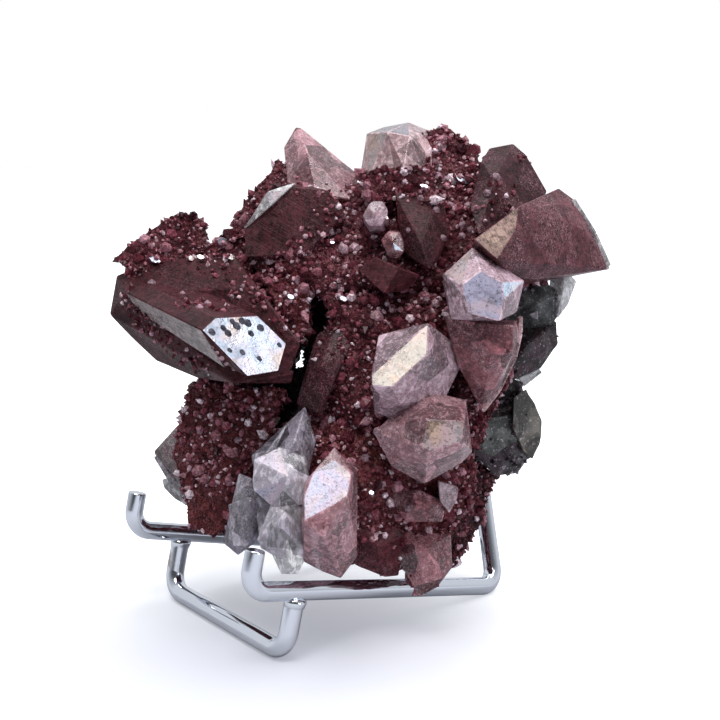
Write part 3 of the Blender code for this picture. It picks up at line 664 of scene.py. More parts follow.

# %% Crystals of the top and the right
# The pale prism's faces are tinted one by one. Lighter on the left, darker in front and darkest on the right is
# painted light and shade, and grey on top is a painted sheen.
Crystal("top_pale_prism", "blush",
        [(1.5, 4, 49), (5.9, -1, 48.5), (10.5, -3, 47.3), (15.3, 0, 42.4), (15.3, 9, 50.4)],
        [(5.2, 8, 51), (10.7, 9, 52.2), (0.2, 4, 41), (5.1, -1, 42.3), (9.2, -5, 40.8)],
        [(1.3, 0, 37), (8.3, -6, 35), (14.7, -4, 35.6), (2, 16, 46), (8, 18, 48), (14, 17, 46),
         (8, 16, 34)],
        faces=[(3.5, -1, 43, "blush_white"), (8, -4, 43, "rose"), (13, -2, 40, "dusk"), (8, 3, 50, "ash"),
               (3, 6, 50, "ash")])
prism("top_skirt", "crust",
      [(0.4, 38.6), (3.6, 40.4), (8.4, 37.8), (12, 39.4), (15.6, 40.5), (15.6, 33), (1.5, 33)], -7.2, 6,
      0.9, across=0.05, up=0.1)
Crystal("upper_right_prism", "maroon",
        [(28, 5, 46), (33.3, 7, 47.3), (36, 7, 45), (40.4, 5, 36.7), (26, 1, 43)],
        [(24.4, -8, 26.3), (28.1, -4, 38.1), (23, -5, 32.4), (33.3, -6, 27), (37, 0, 30)],
        [(28, 18, 40), (35, 20, 40), (38, 18, 32), (30, 18, 24)], grooves=(1, 0, 0.4))
tan_corners = facet(-25.3, [(22, 23.5), (31.5, 30.7), (30.5, 25.5), (26.5, 19.5)], across=0.25, up=0.5)
Crystal("right_horn", "mauve", tan_corners,
        [(41.4, -6, 36), (44.7, -5, 33.8), (47, -5, 30.7), (49.1, -5, 26.5)],
        [(50.9, -5, 22.8), (52.3, -5, 19.2), (29.9, -21.5, 16.5), (34.9, -17, 16.4), (38.1, -14, 17.9)],
        [(46.1, -9, 20), (43.3, -8, 32.5), (46.3, -9, 27.3), (22, -12, 20), (32, 6, 26), (40, 8, 28)],
        [(44, 6, 20), (34, 2, 16)], faces=[(27.5, -25.3, 24.7, "deep_tan")], grooves=(1.0, 0.4, 0.3))
Crystal("horn_lower_edge", "grey_clear", strip((52.0, -5.6, 19.5), (37.5, -11.4, 19.8), 0.7, 1.6))
rim("horn_rim", "grey_clear", [(44.3, -6.6, 33.6), (48.8, -6.2, 26.4), (51.8, -6, 19.8)], 1.1, 1.4)

lilac_front = [(19.4, 14.6), (23.1, 17.3), (27, 15.2), (27.5, 11.6), (26.6, 7.7), (20.4, 9.2)]
lilac_outline = [(16, 16.7), (21.9, 22.1), (27.9, 18.5), (32.3, 15.8), (30.8, 9.6), (23.1, 7.8), (17.7, 8.1)]
Crystal("lilac_prism", "lilac", facet(-31, lilac_front, across=0.12, up=0.15),
        facet(-25, lilac_outline, across=0.3), root(2, lilac_outline, 0.8),
        faces=[(23.5, -31, 12, "lilac_frost"), (19.5, -28, 18, "tan"), (29, -26, 15, "blue_frost")])
brown_front = [(23.3, 7.3), (29.8, 6.9), (29.5, 1.5), (25.4, 1.5)]
brown_outline = [(16.6, 8.8), (31.2, 8.2), (32, 5.9), (31, 0.8), (27.7, -5.7), (24.4, -9.9), (22.8, -7),
                 (19.3, -0.8), (17.4, 5.7)]
Crystal("brown_prism", "red", facet(-27.5, brown_front, across=0.1, up=0.2),
        facet(-20, brown_outline, across=0.45, up=-0.1), root(4, brown_outline, 0.8))

rim("pale_edge", "blush", [(32.2, -17, 9), (32.1, -17.6, 5.6), (31.0, -18, 0.8), (27.7, -18.6, -5.8),
                           (24.4, -19.4, -9.9)], 0.9, 4)

cream_face = [(2.2, -2.6), (4.4, -0.9), (13.2, 7.4), (12.9, 1.3), (6.1, -4.9), (2.3, -4.6)]
cream_outline = [(2.9, -9.9), (2.4, -5), (3.7, 5.1), (10.1, 6.8), (15.6, 5.9), (18.9, 3.3), (19.9, -1.2),
                 (16.8, -7.4), (6.2, -11.3)]
Crystal("cream_face_prism", "lilac", facet(-30, cream_face, across=-0.15, up=0.45),
        facet(-22, cream_outline, across=0.15), [(8, -29, -8)], root(5, cream_outline, 0.8),
        faces=[(7, -30, 0, "cream")])
tan_face = [(12.7, -11.1), (15.1, -11.2), (20, -11.5), (19.7, -15.4), (13.2, -17.1), (11.6, -16.2)]
tan_outline = [(2.7, -13.8), (6.2, -20.6), (12.6, -24.1), (20, -20.1), (22.2, -17.9), (21, -7.6),
               (17.9, -7.2), (11.9, -5.6), (8.3, -9.9)]
Crystal("tan_face_prism", "pink", facet(-31, tan_face, across=0.2, up=0.1),
        facet(-23, tan_outline, across=0.2), [(7.5, -28, -13.5)], root(5, tan_outline, 0.8),
        faces=[(15.5, -31, -14, "tan")])

white_hexagon = [(-4.9, -19.3), (-1.6, -22.1), (-2.3, -26.1), (-4.6, -27.7), (-10.7, -30.8), (-10.9, -26.3),
                 (-9.1, -21.6)]
white_outline = [(-5, -17), (-0.4, -21.8), (-1.1, -26.9), (-2.8, -34.3), (-0.6, -39.1), (-3.8, -43.4),
                 (-7.5, -42), (-11.2, -40), (-12.1, -32.1), (-11, -24)]
Crystal("lower_face_prism", "pink", facet(-25, white_hexagon, up=0.5),
        facet(-19, white_outline, up=-0.1), [(-7, -27.5, -34)], root(3, white_outline, 0.8),
        faces=[(-6.5, -25, -25, "pearl")])

low_outline = [(8.8, -34.9), (18.9, -35.9), (19.1, -42.6), (16, -46.6), (12.1, -48.6), (11, -45.6),
               (7.5, -40.1)]
prism("wine_prism", "wine",
      [(-1.9, -35.0), (1.0, -33.4), (7.1, -33.6), (9.2, -35.8), (7.6, -39.7), (8.0, -44.4), (5.2, -44.6),
       (2.8, -43.4), (-0.3, -42.1), (-1.8, -41)], -10, 4, 0.8, [(3.5, -13.4, -37.6)], across=0.25, up=-0.25)
Crystal("bottom_crust", "red_crust", quartz((13, -2, -43), (12.6, -8.6, -46.6), 5.5, 0.4, 0.5))
Crystal("bottom_prism", "red", facet(-8.6, low_outline, across=0.1, up=0.1),
        [(13.5, -12.4, -38.5), (15.5, -11.5, -41.5)], root(8, low_outline[:3] + low_outline[-1:], 0.8))
prism("small_red_prism", "red",
      [(6.6, -26.6), (12, -25.9), (17, -28.3), (16.7, -32.4), (9.3, -32.4), (6.8, -28.9)], -15, 2, 0.8,
      [(10, -17.6, -28.5), (14, -17.2, -30)])
prism("pale_flake", "lilac", [(15.7, -24.1), (19.8, -25.3), (19.7, -27.5), (18, -30.6), (16.1, -28.1)], -16,
      0, 0.8, across=0.3)
Crystal("upper_centre_prism", "brown",
        facet(-9, [(7.3, 34.7), (12, 30.8), (16.3, 21.1), (9.2, 22), (7.8, 29.6)], up=0.1),
        [(14.2, -14, 18.6), (12.5, -13, 24), (19, -6, 27), (17, -4, 35), (9, 6, 34), (16, 6, 20)])
Crystal("cleft_wall_prism", "maroon", [(-9, -6, 5.5), (-4.7, -9, 8.2), (-2, -12, 3.1), (-5.1, -14, -4.1)],
        [(-7.8, -13, -10.6), (-12.2, -8, -11.2), (-13.1, -9, -8.4), (-8, -13, -1), (0, 4, 4), (-8, 8, -8)],
        grooves=(1.0, 0.2, -0.3))
Crystal("centre_tip_prism", "brown",
        [(-0.4, -11, 18.7), (4.8, -16, 13.6), (7.7, -15, 18.9), (3.2, -12, 21.3)],
        [(12.4, -12, 17.5), (9.1, -13, 14.2), (2, 2, 20), (10, 2, 16)])
Crystal("pale_gem_upper", "lilac", quartz((3.4, -2, 28.6), (3.0, -12.6, 29.8), 5.0, 0.3, 0.35),
        quartz((3.8, -2, 30), (3.6, -12, 31), 4.2, 0.3, 0.35))
Crystal("pale_gem_lower", "red", quartz((7.4, -2, 25.5), (6.6, -12.0, 24.2), 4.8, 0.1, 0.5),
        quartz((7.4, -2, 23.5), (7.0, -11.8, 22.6), 4.0, 0.1, 0.4), faces=[(7.2, -12, 22.6, "blue_frost")])
print(len(crystals), "crystals with the right half")

# %% [markdown]
# Between the crystals lies the ground that they grew from. It is the same stone with a crust of druse, so
# it is built as lumpy blocks that the druse will cover, and the back is rough rock where the cluster broke
# off its wall.

# %% Ground and broken rock
prism("lower_left_mass", "red_crust",
      [(-35.5, -4.2), (-38.5, -13.2), (-39.5, -21.2), (-36.1, -32.3), (-35.7, -34.8), (-31.3, -36.6),
       (-27, -35), (-24, -26), (-20.8, -12), (-15, -6)], -4, 23, 0.85, [(-30, -6, -16), (-27, -8, -24)],
      across=-0.45, up=0.05)
prism("upper_mass", "crust",
      [(-24, 23), (-20.5, 33), (-12.6, 35), (-2, 38), (3, 38.5), (14.7, 38), (25, 37.5), (33.5, 30),
       (29, 18), (19.9, 12.6), (8.4, 12.6), (-3, 12.6), (-8.8, 14.5), (-20.5, 15.5)], -3, 21, 0.9,
      [(-12, -9, 20), (2, -10, 17), (14, -9, 17)], up=0.25)
prism("cleft_side", "red_crust",
      [(-20.3, 16.6), (-11.4, 18.6), (-10.6, 12.4), (-11.4, 3.1), (-13.4, 4.8), (-16.5, 9.9)], -8.5, 12,
      0.9, across=0.35)
prism("middle_mass", "crust",
      [(-6.2, 13.5), (8.3, 14.1), (18.7, 13), (29.1, 12), (31, -4.2), (25, -16.6), (8.3, -16), (-4.2, -14),
       (-8.7, -9), (-7.3, 4.2)], -9, 24, 0.9, [(2, -12, 6), (0, -13, -9)])
prism("lower_mass", "red_crust",
      [(-12.4, -10), (-6.2, -8), (7.2, -12.4), (22.7, -16.5), (25, -26.9), (19.6, -35.1), (13, -42),
       (4, -43.3), (-1.7, -40.9), (-12.4, -39.3), (-18.6, -36.2), (-20.3, -22.7), (-19, -16.5)], -6, 20,
      0.8, [(1, -17, -25), (3, -13, -33), (4, -10, -40)], up=-0.05)
prism("lower_right_mass", "black_crust",
      [(29.9, -25), (26.8, -33.1), (25.6, -35.5), (21.4, -43.1), (19.6, -44.3), (16, -36), (18, -26),
       (23.4, -20)], 3, 17, 0.8, across=0.5)
Crystal("top_knob", "crust",
        facet(4, [(14.8, 49.3), (17.2, 51), (19.6, 50.6), (25.3, 46), (27, 38), (15, 38)], up=0.3),
        root(16, [(15.5, 47), (24, 45), (27, 36), (15, 36)], 0.9))
Crystal("left_ridge", "crust",
        facet(4, [(-53.5, 22), (-49, 26), (-44, 29), (-38.5, 33), (-34, 30.5), (-32.5, 24), (-44, 18)],
              up=0.2), root(13, [(-51, 22), (-38, 31), (-34, 28), (-42, 18)], 0.95))
Crystal("notch_druse", "crust", [(-33, 3, 24.5), (-31, -2, 19), (-22, -4, 18), (-21, -1, 27)],
        [(-27, 3, 29), (-28, 10, 20)])
Crystal("saw_ridge", "crust", [(-30, 0, 24), (-26.5, 1, 30.5), (-22.5, 2, 37), (-17.5, 4, 44), (-14, 3, 40)],
        [(-18, 12, 36), (-26, 12, 27), (-20, -3, 28), (-16, 8, 42)])
Crystal("right_rock_top", "green_rock",
        facet(1, [(36.3, 15), (39.1, 17), (43, 14.6), (43, 10.4), (41.3, 7.6), (36, 5), (30, 7), (30, 16)],
              across=0.3, up=-0.2), [(38, -3, 12), (40, 14, 16), (36, 14, 8)])
Crystal("clear_rock_corner", "grey_clear",
        facet(3, [(40.8, 17.7), (44, 20), (46.7, 17.2), (44.7, 12.2), (42.4, 9.2), (40, 12)], across=0.2,
              up=0.1), [(43, 0, 15), (42, 12, 17), (43, 12, 12)])
Crystal("right_rock_middle", "glassy_rock",
        facet(0, [(42.4, 8.6), (42.6, 3.7), (38.6, -1.6), (34, -3.4), (28, -5), (28, 8)], across=0.35,
              up=0.3), [(35, -5, 3), (38, 14, 5), (34, 14, -2), (37, 13, 9)])
Crystal("right_rock_edge", "grey_clear", strip((34.6, 3, -4.6), (38.6, 4, -1.6), 2.2, 6))
Crystal("right_rock_bright", "clear", [(35.4, -4, 9.8), (37.4, -3.6, 10.6), (37.2, -4.6, 8.6), (36, 2, 9.5)])
Crystal("right_gap_rock", "glassy_rock",
        [(29.5, 0, -2.5), (35, 1, -4.6), (34.6, 3, -8.6), (29.5, 1, -9.5), (32, 12, -5), (30, 9, -9)])
Crystal("olive_plate", "olive_rock",
        facet(-2, [(32.2, -7.6), (35.2, -5.6), (36.7, -8.2), (38.9, -12.5), (38.4, -17.6), (36.6, -20.8),
                   (34.4, -19), (32, -13.8)], across=0.5), [(34, 8, -8), (36, 10, -15), (33, 9, -19)])
Crystal("right_wedge_rock", "green_rock",
        facet(-4, [(25, -12), (32.5, -11), (34, -16.5), (28, -20), (24.5, -19)], across=0.3, up=0.2),
        [(28, 8, -14), (31, 8, -16)])
prism("right_rock_low", "dark_rock",
      [(35, -5.6), (36.5, -8.6), (38.4, -12.3), (38, -20.2), (33.9, -24), (29, -25), (24, -19.4), (25, -10),
       (30, -5)], 3, 19, 0.8, [(33, -3, -17)], across=0.5, up=-0.05)
Crystal("back_upper", "rock",
        facet(10, [(-22, 22), (-16, 34), (14, 42), (30, 40), (36, 28), (32, 10), (-8, 10)]),
        [(-12, 24, 26), (6, 27, 34), (22, 25, 33), (28, 25, 20), (4, 28, 14), (-10, 25, 16)])
Crystal("back_left", "rock",
        facet(8, [(-38, 16), (-20, 23), (-9, 16), (-9, -4), (-14, -14), (-31, -10), (-34, 4)]),
        [(-30, 20, 13), (-14, 25, 14), (-12, 24, -8), (-27, 21, -6)])
Crystal("back_middle", "rock", facet(10, [(-11, 15), (33, 14), (35, -2), (30, -16), (2, -18), (-12, -12)]),
        [(0, 28, 9), (24, 27, 8), (25, 26, -10), (4, 29, -11), (-9, 25, -6)])
Crystal("back_low", "rock",
        facet(8, [(-34, -12), (-18, -8), (22, -12), (26, -26), (19, -36), (-10, -38), (-32, -34)]),
        [(-27, 26, -20), (-6, 27, -17), (16, 24, -18), (14, 22, -30), (-8, 24, -33), (-27, 26, -34)])
Crystal("back_prism_tall", "maroon", quartz((4, 18, 20), (-6, 33, 40), 11, 0.3))
Crystal("back_prism_low", "brown", quartz((12, 20, -4), (24, 33, 6), 12, 0.9))
Crystal("back_prism_left", "mauve", quartz((-20, 16, 4), (-34, 27, 12), 11, 0.5))
Crystal("back_prism_foot", "brown", quartz((-8, 18, -22), (-20, 33, -26), 12, 0.2))
Crystal("back_prism_small", "pink", quartz((8, 20, 10), (14, 34, 20), 8, 0.7))
Crystal("back_prism_side", "maroon", quartz((22, 14, 24), (34, 25, 34), 9, 0.4))
print(len(crystals), "crystals and blocks in all")

# %% [markdown]
# A real crystal's edges are chipped and never knife sharp, and its faces are flat only at a glance. Each
# hull gets a narrow bevel, is cut into small triangles, and its points are then moved a little by noise:
# hardly at all on the smooth crystals, and by a millimetre where the ground is lumpy. Before that, two
# cutters are taken out of the low hulls: the slit through which light shows in the dark cleft, and the room
# that the wires need.

# %% Cutters
CLEARANCE = 0.3
slit_near = [(-12.3, -30, 2.2), (-10.7, -30, 2.0), (-12.6, -30, -1.6), (-13.7, -30, -1.9)]
slit_far = [(-13.4, 45, 3.0), (-11.0, 45, 2.8), (-13.4, 45, -2.4), (-15.4, 45, -2.6)]


def hull(corners):
    """The closed solid stretched over a few corners, in the show face's own frame."""
    bm = bmesh.new()
    for corner in corners:
        bm.verts.new(corner)
    made = bmesh.ops.convex_hull(bm, input=bm.verts)
    left_over = made["geom_interior"] + made["geom_unused"]
    spare = [item for item in left_over if isinstance(item, bmesh.types.BMVert)]
    bmesh.ops.delete(bm, geom=list(set(spare)), context="VERTS")
    bmesh.ops.dissolve_limit(bm, angle_limit=FLAT_ENOUGH, verts=bm.verts, edges=bm.edges)
    bmesh.ops.recalc_face_normals(bm, faces=bm.faces)
    return bm


def to_object(name, bm):
    """A bmesh as an object that is only used while building."""
    mesh = bpy.data.meshes.new(name)
    bm.to_mesh(mesh)
    bm.free()
    return add_object(name, mesh)


slit_cutter = to_object("slit_cutter", hull([Vector(corner) for corner in slit_near + slit_far]))
wire_cutter_bm = bmesh.new()
wire_cutter_bm.from_mesh(frame_wire.data)
for vertex in wire_cutter_bm.verts:
    vertex.co = vertex.co + vertex.normal * CLEARANCE * MM
bmesh.ops.transform(wire_cutter_bm, matrix=show_face.inverted() @ Matrix.Scale(1 / MM, 4),
                    verts=wire_cutter_bm.verts)
wire_cutter = to_object("wire_cutter", wire_cutter_bm)


def box_of(points):
    """The lowest and the highest corner of some points."""
    low = Vector([min(point[side] for point in points) for side in range(3)])
    high = Vector([max(point[side] for point in points) for side in range(3)])
    return low, high


def boxes_meet(first, second):
    """Whether two boxes share any room."""
    return all(first[0][side] < second[1][side] and second[0][side] < first[1][side] for side in range(3))


slit_box = box_of([vertex.co for vertex in slit_cutter.data.vertices])
WIRES_BELOW = -14.0
print("cutters ready")

# %% Bevel, refine and roughen
SMALLEST_TRIANGLE = {"dark": 1.7, "ground": 1.7, "rock": 1.7, "clear": 1.8, "pink": 1.8}
REFINE_ROUNDS = 6
SHARP_EDGE = math.radians(9)
BEVEL_PER_CHIP = 0.6
# How many millimetres deep the noise goes, how many of its waves fit in one, and where it starts to count.
FACE_SWELL, SWELL_WAVES = 0.05, 0.12
CHIP_DEPTH, CHIP_WAVES, CHIP_FROM = 0.35, 0.45, 0.35
LUMPS_SUNK = 0.25
WORN_EDGE = -1
WORN_LIGHTER = {"dark": 1.5, "pink": 1.2, "clear": 1.05, "rock": 1.3, "ground": 1.0}


def mark_faces(bm, crystal):
    """Gives every face its look: 0 for the kind's own, and a number for each odd face."""
    layer = bm.faces.layers.int.new("look")
    names = list(FACE_LOOKS)
    for across, back, up, look in crystal.faces:
        spot = Vector((across, back, up))
        nearest = min(bm.faces, key=lambda face: (face.calc_center_median() - spot).length)
        nearest[layer] = names.index(look) + 1


def cut_out(bm, name, cutters):
    """Takes cutters out of a hull with Boolean modifiers."""
    target = to_object(name, bm)
    for cutter in cutters:
        trim = target.modifiers.new(cutter.name, "BOOLEAN")
        trim.operation, trim.object, trim.solver = "DIFFERENCE", cutter, "EXACT"
    bpy.context.view_layer.update()
    mesh = bpy.data.meshes.new_from_object(target.evaluated_get(bpy.context.evaluated_depsgraph_get()))
    bpy.data.objects.remove(target)
    trimmed = bmesh.new()
    trimmed.from_mesh(mesh)
    return trimmed


def refine(bm, longest):
    """Cuts the edges that are too long in half, a few times over."""
    bmesh.ops.triangulate(bm, faces=bm.faces)
    for _ in range(REFINE_ROUNDS):
        long_edges = [edge for edge in bm.edges if edge.calc_length() > longest]
        bmesh.ops.subdivide_edges(bm, edges=long_edges, cuts=1)
        wide_faces = [face for face in bm.faces if len(face.verts) > 3]
        bmesh.ops.triangulate(bm, faces=wide_faces, quad_method="SHORT_EDGE")


def shape_crystal(crystal):
    """The finished mesh of one crystal in the show face's frame."""
    bm = hull(crystal.corners)
    mark_faces(bm, crystal)
    cutters = []
    own_box = box_of(crystal.corners)
    if boxes_meet(own_box, slit_box):
        cutters.append(slit_cutter)
    if own_box[0].z < WIRES_BELOW:
        cutters.append(wire_cutter)
    if cutters:
        bm = cut_out(bm, crystal.name, cutters)
    sharp = [edge for edge in bm.edges if edge.is_manifold and edge.calc_face_angle(0) > SHARP_EDGE]
    chips = bmesh.ops.bevel(bm, geom=sharp, offset=crystal.kind.chip * BEVEL_PER_CHIP, segments=1,
                            profile=0.5, affect="EDGES")
    layer = bm.faces.layers.int["look"]
    for face in chips["faces"]:
        face[layer] = WORN_EDGE
    refine(bm, SMALLEST_TRIANGLE[crystal.kind.group])
    bm.normal_update()
    seed = Vector((len(crystal.name) * 3.7, crystal.corners[0].x, crystal.corners[0].z))
    for vertex in bm.verts:
        swell = noise.noise(vertex.co * SWELL_WAVES + seed) * FACE_SWELL
        chip_wave = noise.noise(vertex.co * CHIP_WAVES + seed) - CHIP_FROM
        chip = max(0.0, chip_wave) * CHIP_DEPTH * crystal.kind.chip
        lump = 0.0
        if crystal.kind.lumps:
            lumpy = noise.fractal(vertex.co / crystal.kind.lump_size, 0.8, 2.1, 3)
            lump = lumpy * crystal.kind.lumps - crystal.kind.lumps * LUMPS_SUNK
        vertex.co += vertex.normal * (swell - chip + lump)
    return bm


shapes = {}
for crystal in crystals:
    shapes[crystal.name] = shape_crystal(crystal)
print(sum(len(bm.faces) for bm in shapes.values()), "triangles in", len(shapes), "shapes")

# %% [markdown]
# Some small crystals stand out from the crust: pale ones that are nearly rings, and tiny faces that happen
# to mirror a lamp. Those tiny faces are coloured nearly white as well, so their glint is partly a painted
# highlight. Each is put where a straight look from the front meets the cluster, so only its place in the
# view is given.

# %% Small crystals that stand out
def tree_of(names):
    """A search tree over the surfaces of some shapes."""
    points, faces = [], []
    for name in names:
        bm, start = shapes[name], len(points)
        bm.verts.index_update()
        points += [vertex.co.copy() for vertex in bm.verts]
        faces += [[start + vertex.index for vertex in face.verts] for face in bm.faces]
    return BVHTree.FromPolygons(points, faces)


show_tree = tree_of(list(shapes))


def seen_at(across, up):
    """Where a straight look from the front meets the cluster, and the way the surface looks there."""
    place, outward, _, _ = show_tree.ray_cast(Vector((across, -60, up)), Vector((0, 1, 0)))
    return place, outward


# Across, up and width.
PALE_GRAINS = [
    (-28.6, 2.7, 0.8), (-27.7, 1.7, 0.9), (-26.8, 0.6, 1.1), (-26.0, -0.5, 0.9), (-24.9, -1.5, 1.0),
    (-27.4, 0.6, 0.8), (19.0, 32.6, 2.2), (22.8, 32.7, 1.9), (24.2, 31.6, 2.0), (15.8, 31.4, 1.8),
    (17.2, 25.4, 1.6), (21.6, 28.6, 1.9), (21.4, 26.2, 1.7), (23.2, 27.6, 1.6), (9.9, 26.8, 1.3),
    (16.4, 39.6, 2.2), (18.6, 38.6, 2.4), (16.2, 42.4, 2.4), (17.4, 46.2, 2.6), (10.2, 39.8, 1.6),
    (17.2, 34.6, 1.9), (12.6, 33.8, 1.5), (26.6, 35.0, 1.8), (28.6, 38.6, 2.2), (-44.0, 16.4, 2.0),
    (-31.8, 10.6, 1.8), (-30.6, 11.6, 1.6), (-26.4, 13.2, 1.4), (-36.6, 14.0, 1.3), (-12.2, 22.2, 1.9),
    (-16.4, 19.2, 1.8), (-13.0, 16.8, 1.7), (-4.4, 15.4, 1.8), (6.8, 10.6, 1.7), (13.6, 12.4, 1.8),
    (3.4, -13.6, 1.8), (1.2, -19.8, 2.0), (4.8, -24.6, 1.8), (9.6, -29.4, 1.7), (2.2, -31.0, 1.6),
    (-22.6, -10.2, 1.8), (-28.4, -9.0, 1.6), (-33.4, -14.6, 1.8), (-25.2, -16.4, 1.7), (-29.8, -21.6, 1.6),
    (12.2, -24.2, 2.2),
]
# Across, up, width, how many times as long as wide, and which lamp it mirrors.
GLINTS = [
    (-44.2, 21.6, 1.3, 2.2, "right"), (-36.2, 21.8, 1.2, 1.2, "right"), (-33.6, 21.6, 1.0, 1.8, "top"),
    (-27.4, 21.8, 1.4, 1.2, "right"), (-29.6, 25.4, 2.0, 1.4, "right"), (21.7, 38.6, 1.5, 2.6, "right"),
    (13.4, 35.8, 0.9, 2.2, "top"), (-6.0, 24.4, 1.0, 2.0, "top"), (-3.8, 12.8, 1.1, 1.8, "right"),
    (6.4, 13.4, 0.9, 1.4, "top"), (-22.0, 18.4, 1.0, 1.2, "right"), (-14.6, 13.2, 1.1, 1.6, "right"),
    (5.4, 29.0, 0.9, 1.4, "top"), (2.4, -26.8, 1.0, 1.2, "top"), (4.6, 10.0, 0.8, 1.4, "right"),
]
# The slope across and up of a face that mirrors a lamp to the camera.
LAMP_SLOPES = {"right": (0.45, 0.05), "top": (-0.06, 0.47)}
PLATE_FRONT, PLATE_BACK = 1.1, 1.5
PLATE_LEAN = 0.35


def small_plate(place, facing, width, stretch):
    """A little flat hexagon that looks one way and is longer than it is wide."""
    facing = facing.normalized()
    long_side = facing.cross(Vector((PLATE_LEAN, 0, 1))).normalized()
    short_side = facing.cross(long_side)
    corners = []
    for corner in range(6):
        angle = math.pi * corner / 3
        reach = width / 2 * (math.cos(angle) * stretch * long_side + math.sin(angle) * short_side)
        corners += [place + facing * PLATE_FRONT + reach, place - facing * PLATE_BACK + reach]
    return corners


small_start = len(crystals)
for number, (across, up, width) in enumerate(PALE_GRAINS):
    place, outward = seen_at(across, up)
    if place:
        Crystal(f"pale_grain_{number}", "pale_grain",
                quartz(place - outward * 0.8, place + outward * width * 0.5, width, number, 0.7))
# Each glint plate is turned to mirror a lamp, and its front face takes the nearly white glint look, which is
# partly a painted highlight.
for number, (across, up, width, stretch, lamp_name) in enumerate(GLINTS):
    place, outward = seen_at(across, up)
    if place:
        slope_across, slope_up = LAMP_SLOPES[lamp_name]
        facing = Vector((slope_across, -1.0, slope_up))
        front_point = place + facing.normalized() * PLATE_FRONT
        Crystal(f"glint_{number}", "pale_grain", small_plate(place, facing, width, stretch),
                faces=[(*front_point, "glint")])
for crystal in crystals[small_start:]:
    shapes[crystal.name] = shape_crystal(crystal)
print(len(crystals) - small_start, "small crystals stand out")

# %% [markdown]
# Druse creeps up from the ground onto the foot of every crystal, and grows thick in some patches. How much
# of it a point carries is worked out here and stored on the mesh, where the tree that grows druse reads it.

# %% Where druse grows
COLLAR = 2.6
PATCH_EDGE = 1.6
# Across and up, then the reach, and how much druse it adds or takes away.
PATCHES = [
    ((-49, 13), 3.5, 0.8), ((-47.5, 10.5), 4.0, 1.0), ((-44.5, 7.6), 4.0, 1.0), ((-41.5, 5), 4.0, 1.0),
    ((-38.5, 2.6), 4.0, 1.0), ((-35.5, 0.6), 4.0, 1.0), ((-32.5, -1), 3.5, 0.9), ((-30, 21), 6.0, 0.9),
    ((-24, 15), 6.0, 0.9), ((-20, 12), 4.5, 0.8), ((-34, 12), 5.0, 0.6), ((-28, 10.5), 3.5, 0.8),
    ((-17, 8), 4.0, 0.7), ((-38.5, -22), 6.0, -0.5), ((-33, -32), 8.0, -0.9), ((-31, -18), 7.0, 0.5),
    ((-18, 30), 8.0, -0.9), ((-6, 31), 5.0, 0.9), ((-11, 25), 4.0, 0.8), ((8, 43), 5.0, -0.6),
    ((-6, 25), 8.0, 1.0), ((-5, 33), 5.5, 1.0), ((-14, 21), 5.0, 0.9), ((24, 29), 5.0, 0.3),
    ((22, 24), 8.0, -0.75), ((14, 30), 5.0, -0.5), ((18, 46), 4.0, 0.9), ((36, 44), 4.0, 0.4),
    ((-3, 37), 5.0, 1.0), ((-10, 37), 6.0, 0.8), ((-9, -14), 5.0, 0.8), ((30, 34), 6.0, 0.5),
    ((9, 44), 2.5, 0.5),
]
patch_places = [(seen_at(*middle)[0], reach, change) for middle, reach, change in PATCHES]
patch_places = [patch for patch in patch_places if patch[0]]

ground_tree = tree_of([crystal.name for crystal in crystals if crystal.kind.group in ("ground", "rock")])


def druse_at(point, kind):
    """How much druse grows at a point, from none at 0 to a full crust at 1."""
    amount = kind.druse
    if kind.group not in ("ground", "rock"):
        distance = ground_tree.find_nearest(point)[3]
        amount += max(0.0, 1 - distance / COLLAR)
    for middle, reach, change in patch_places:
        away = (point - middle).length
        if away < reach:
            amount += change * min(1.0, PATCH_EDGE * (1 - away / reach))
    patchy = 0.5 + 0.9 * noise.noise(point * 0.35)
    return max(0.0, min(1.0, amount * (0.55 + patchy)))


# %% Join the crystals of each group into a piece
def join_group(group_names, piece_name):
    """One mesh from all crystals of some groups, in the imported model's frame, with what the finishes read."""
    points, faces, tints, frosts, shines, druses, grooves = [], [], [], [], [], [], []
    looks = list(FACE_LOOKS.values())
    for crystal in crystals:
        if crystal.kind.group not in group_names:
            continue
        bm = shapes[crystal.name]
        bm.verts.index_update()
        start = len(points)
        for vertex in bm.verts:
            druses.append(druse_at(vertex.co, crystal.kind))
            grooves.append(vertex.co.dot(crystal.grooves))
            points.append((show_face @ vertex.co) * MM)
        layer = bm.faces.layers.int["look"]
        for face in bm.faces:
            faces.append([start + vertex.index for vertex in face.verts])
            lighter = WORN_LIGHTER[crystal.kind.group] if face[layer] == WORN_EDGE else 1.0
            own_look = ([min(0.95, part * lighter) for part in crystal.kind.tint], crystal.kind.frost, 0.0)
            tint, frost, shine = looks[face[layer] - 1] if face[layer] > 0 else own_look
            tints.append((*tint, 1.0))
            frosts.append(frost)
            shines.append(shine)
    mesh = bpy.data.meshes.new(piece_name)
    mesh.from_pydata(points, [], faces)
    stored = (("tint", "FLOAT_COLOR", "FACE", tints), ("frost", "FLOAT", "FACE", frosts),
              ("shine", "FLOAT", "FACE", shines), ("druse", "FLOAT", "POINT", druses),
              ("groove", "FLOAT", "POINT", grooves))
    for name, kind, domain, values in stored:
        attribute = mesh.attributes.new(name, kind, domain)
        field = "color" if kind == "FLOAT_COLOR" else "value"
        flat = [number for value in values for number in value] if field == "color" else values
        attribute.data.foreach_set(field, flat)
    print(piece_name, len(faces), "triangles")
    return add_object(piece_name, mesh)


dark_piece = join_group(["dark"], "dark_crystals")
ground_piece = join_group(["ground"], "druse_ground")
rock_piece = join_group(["rock"], "broken_rock")
clear_piece = join_group(["clear"], "clear_crystals")
pink_piece = join_group(["pink"], "pink_crystals")
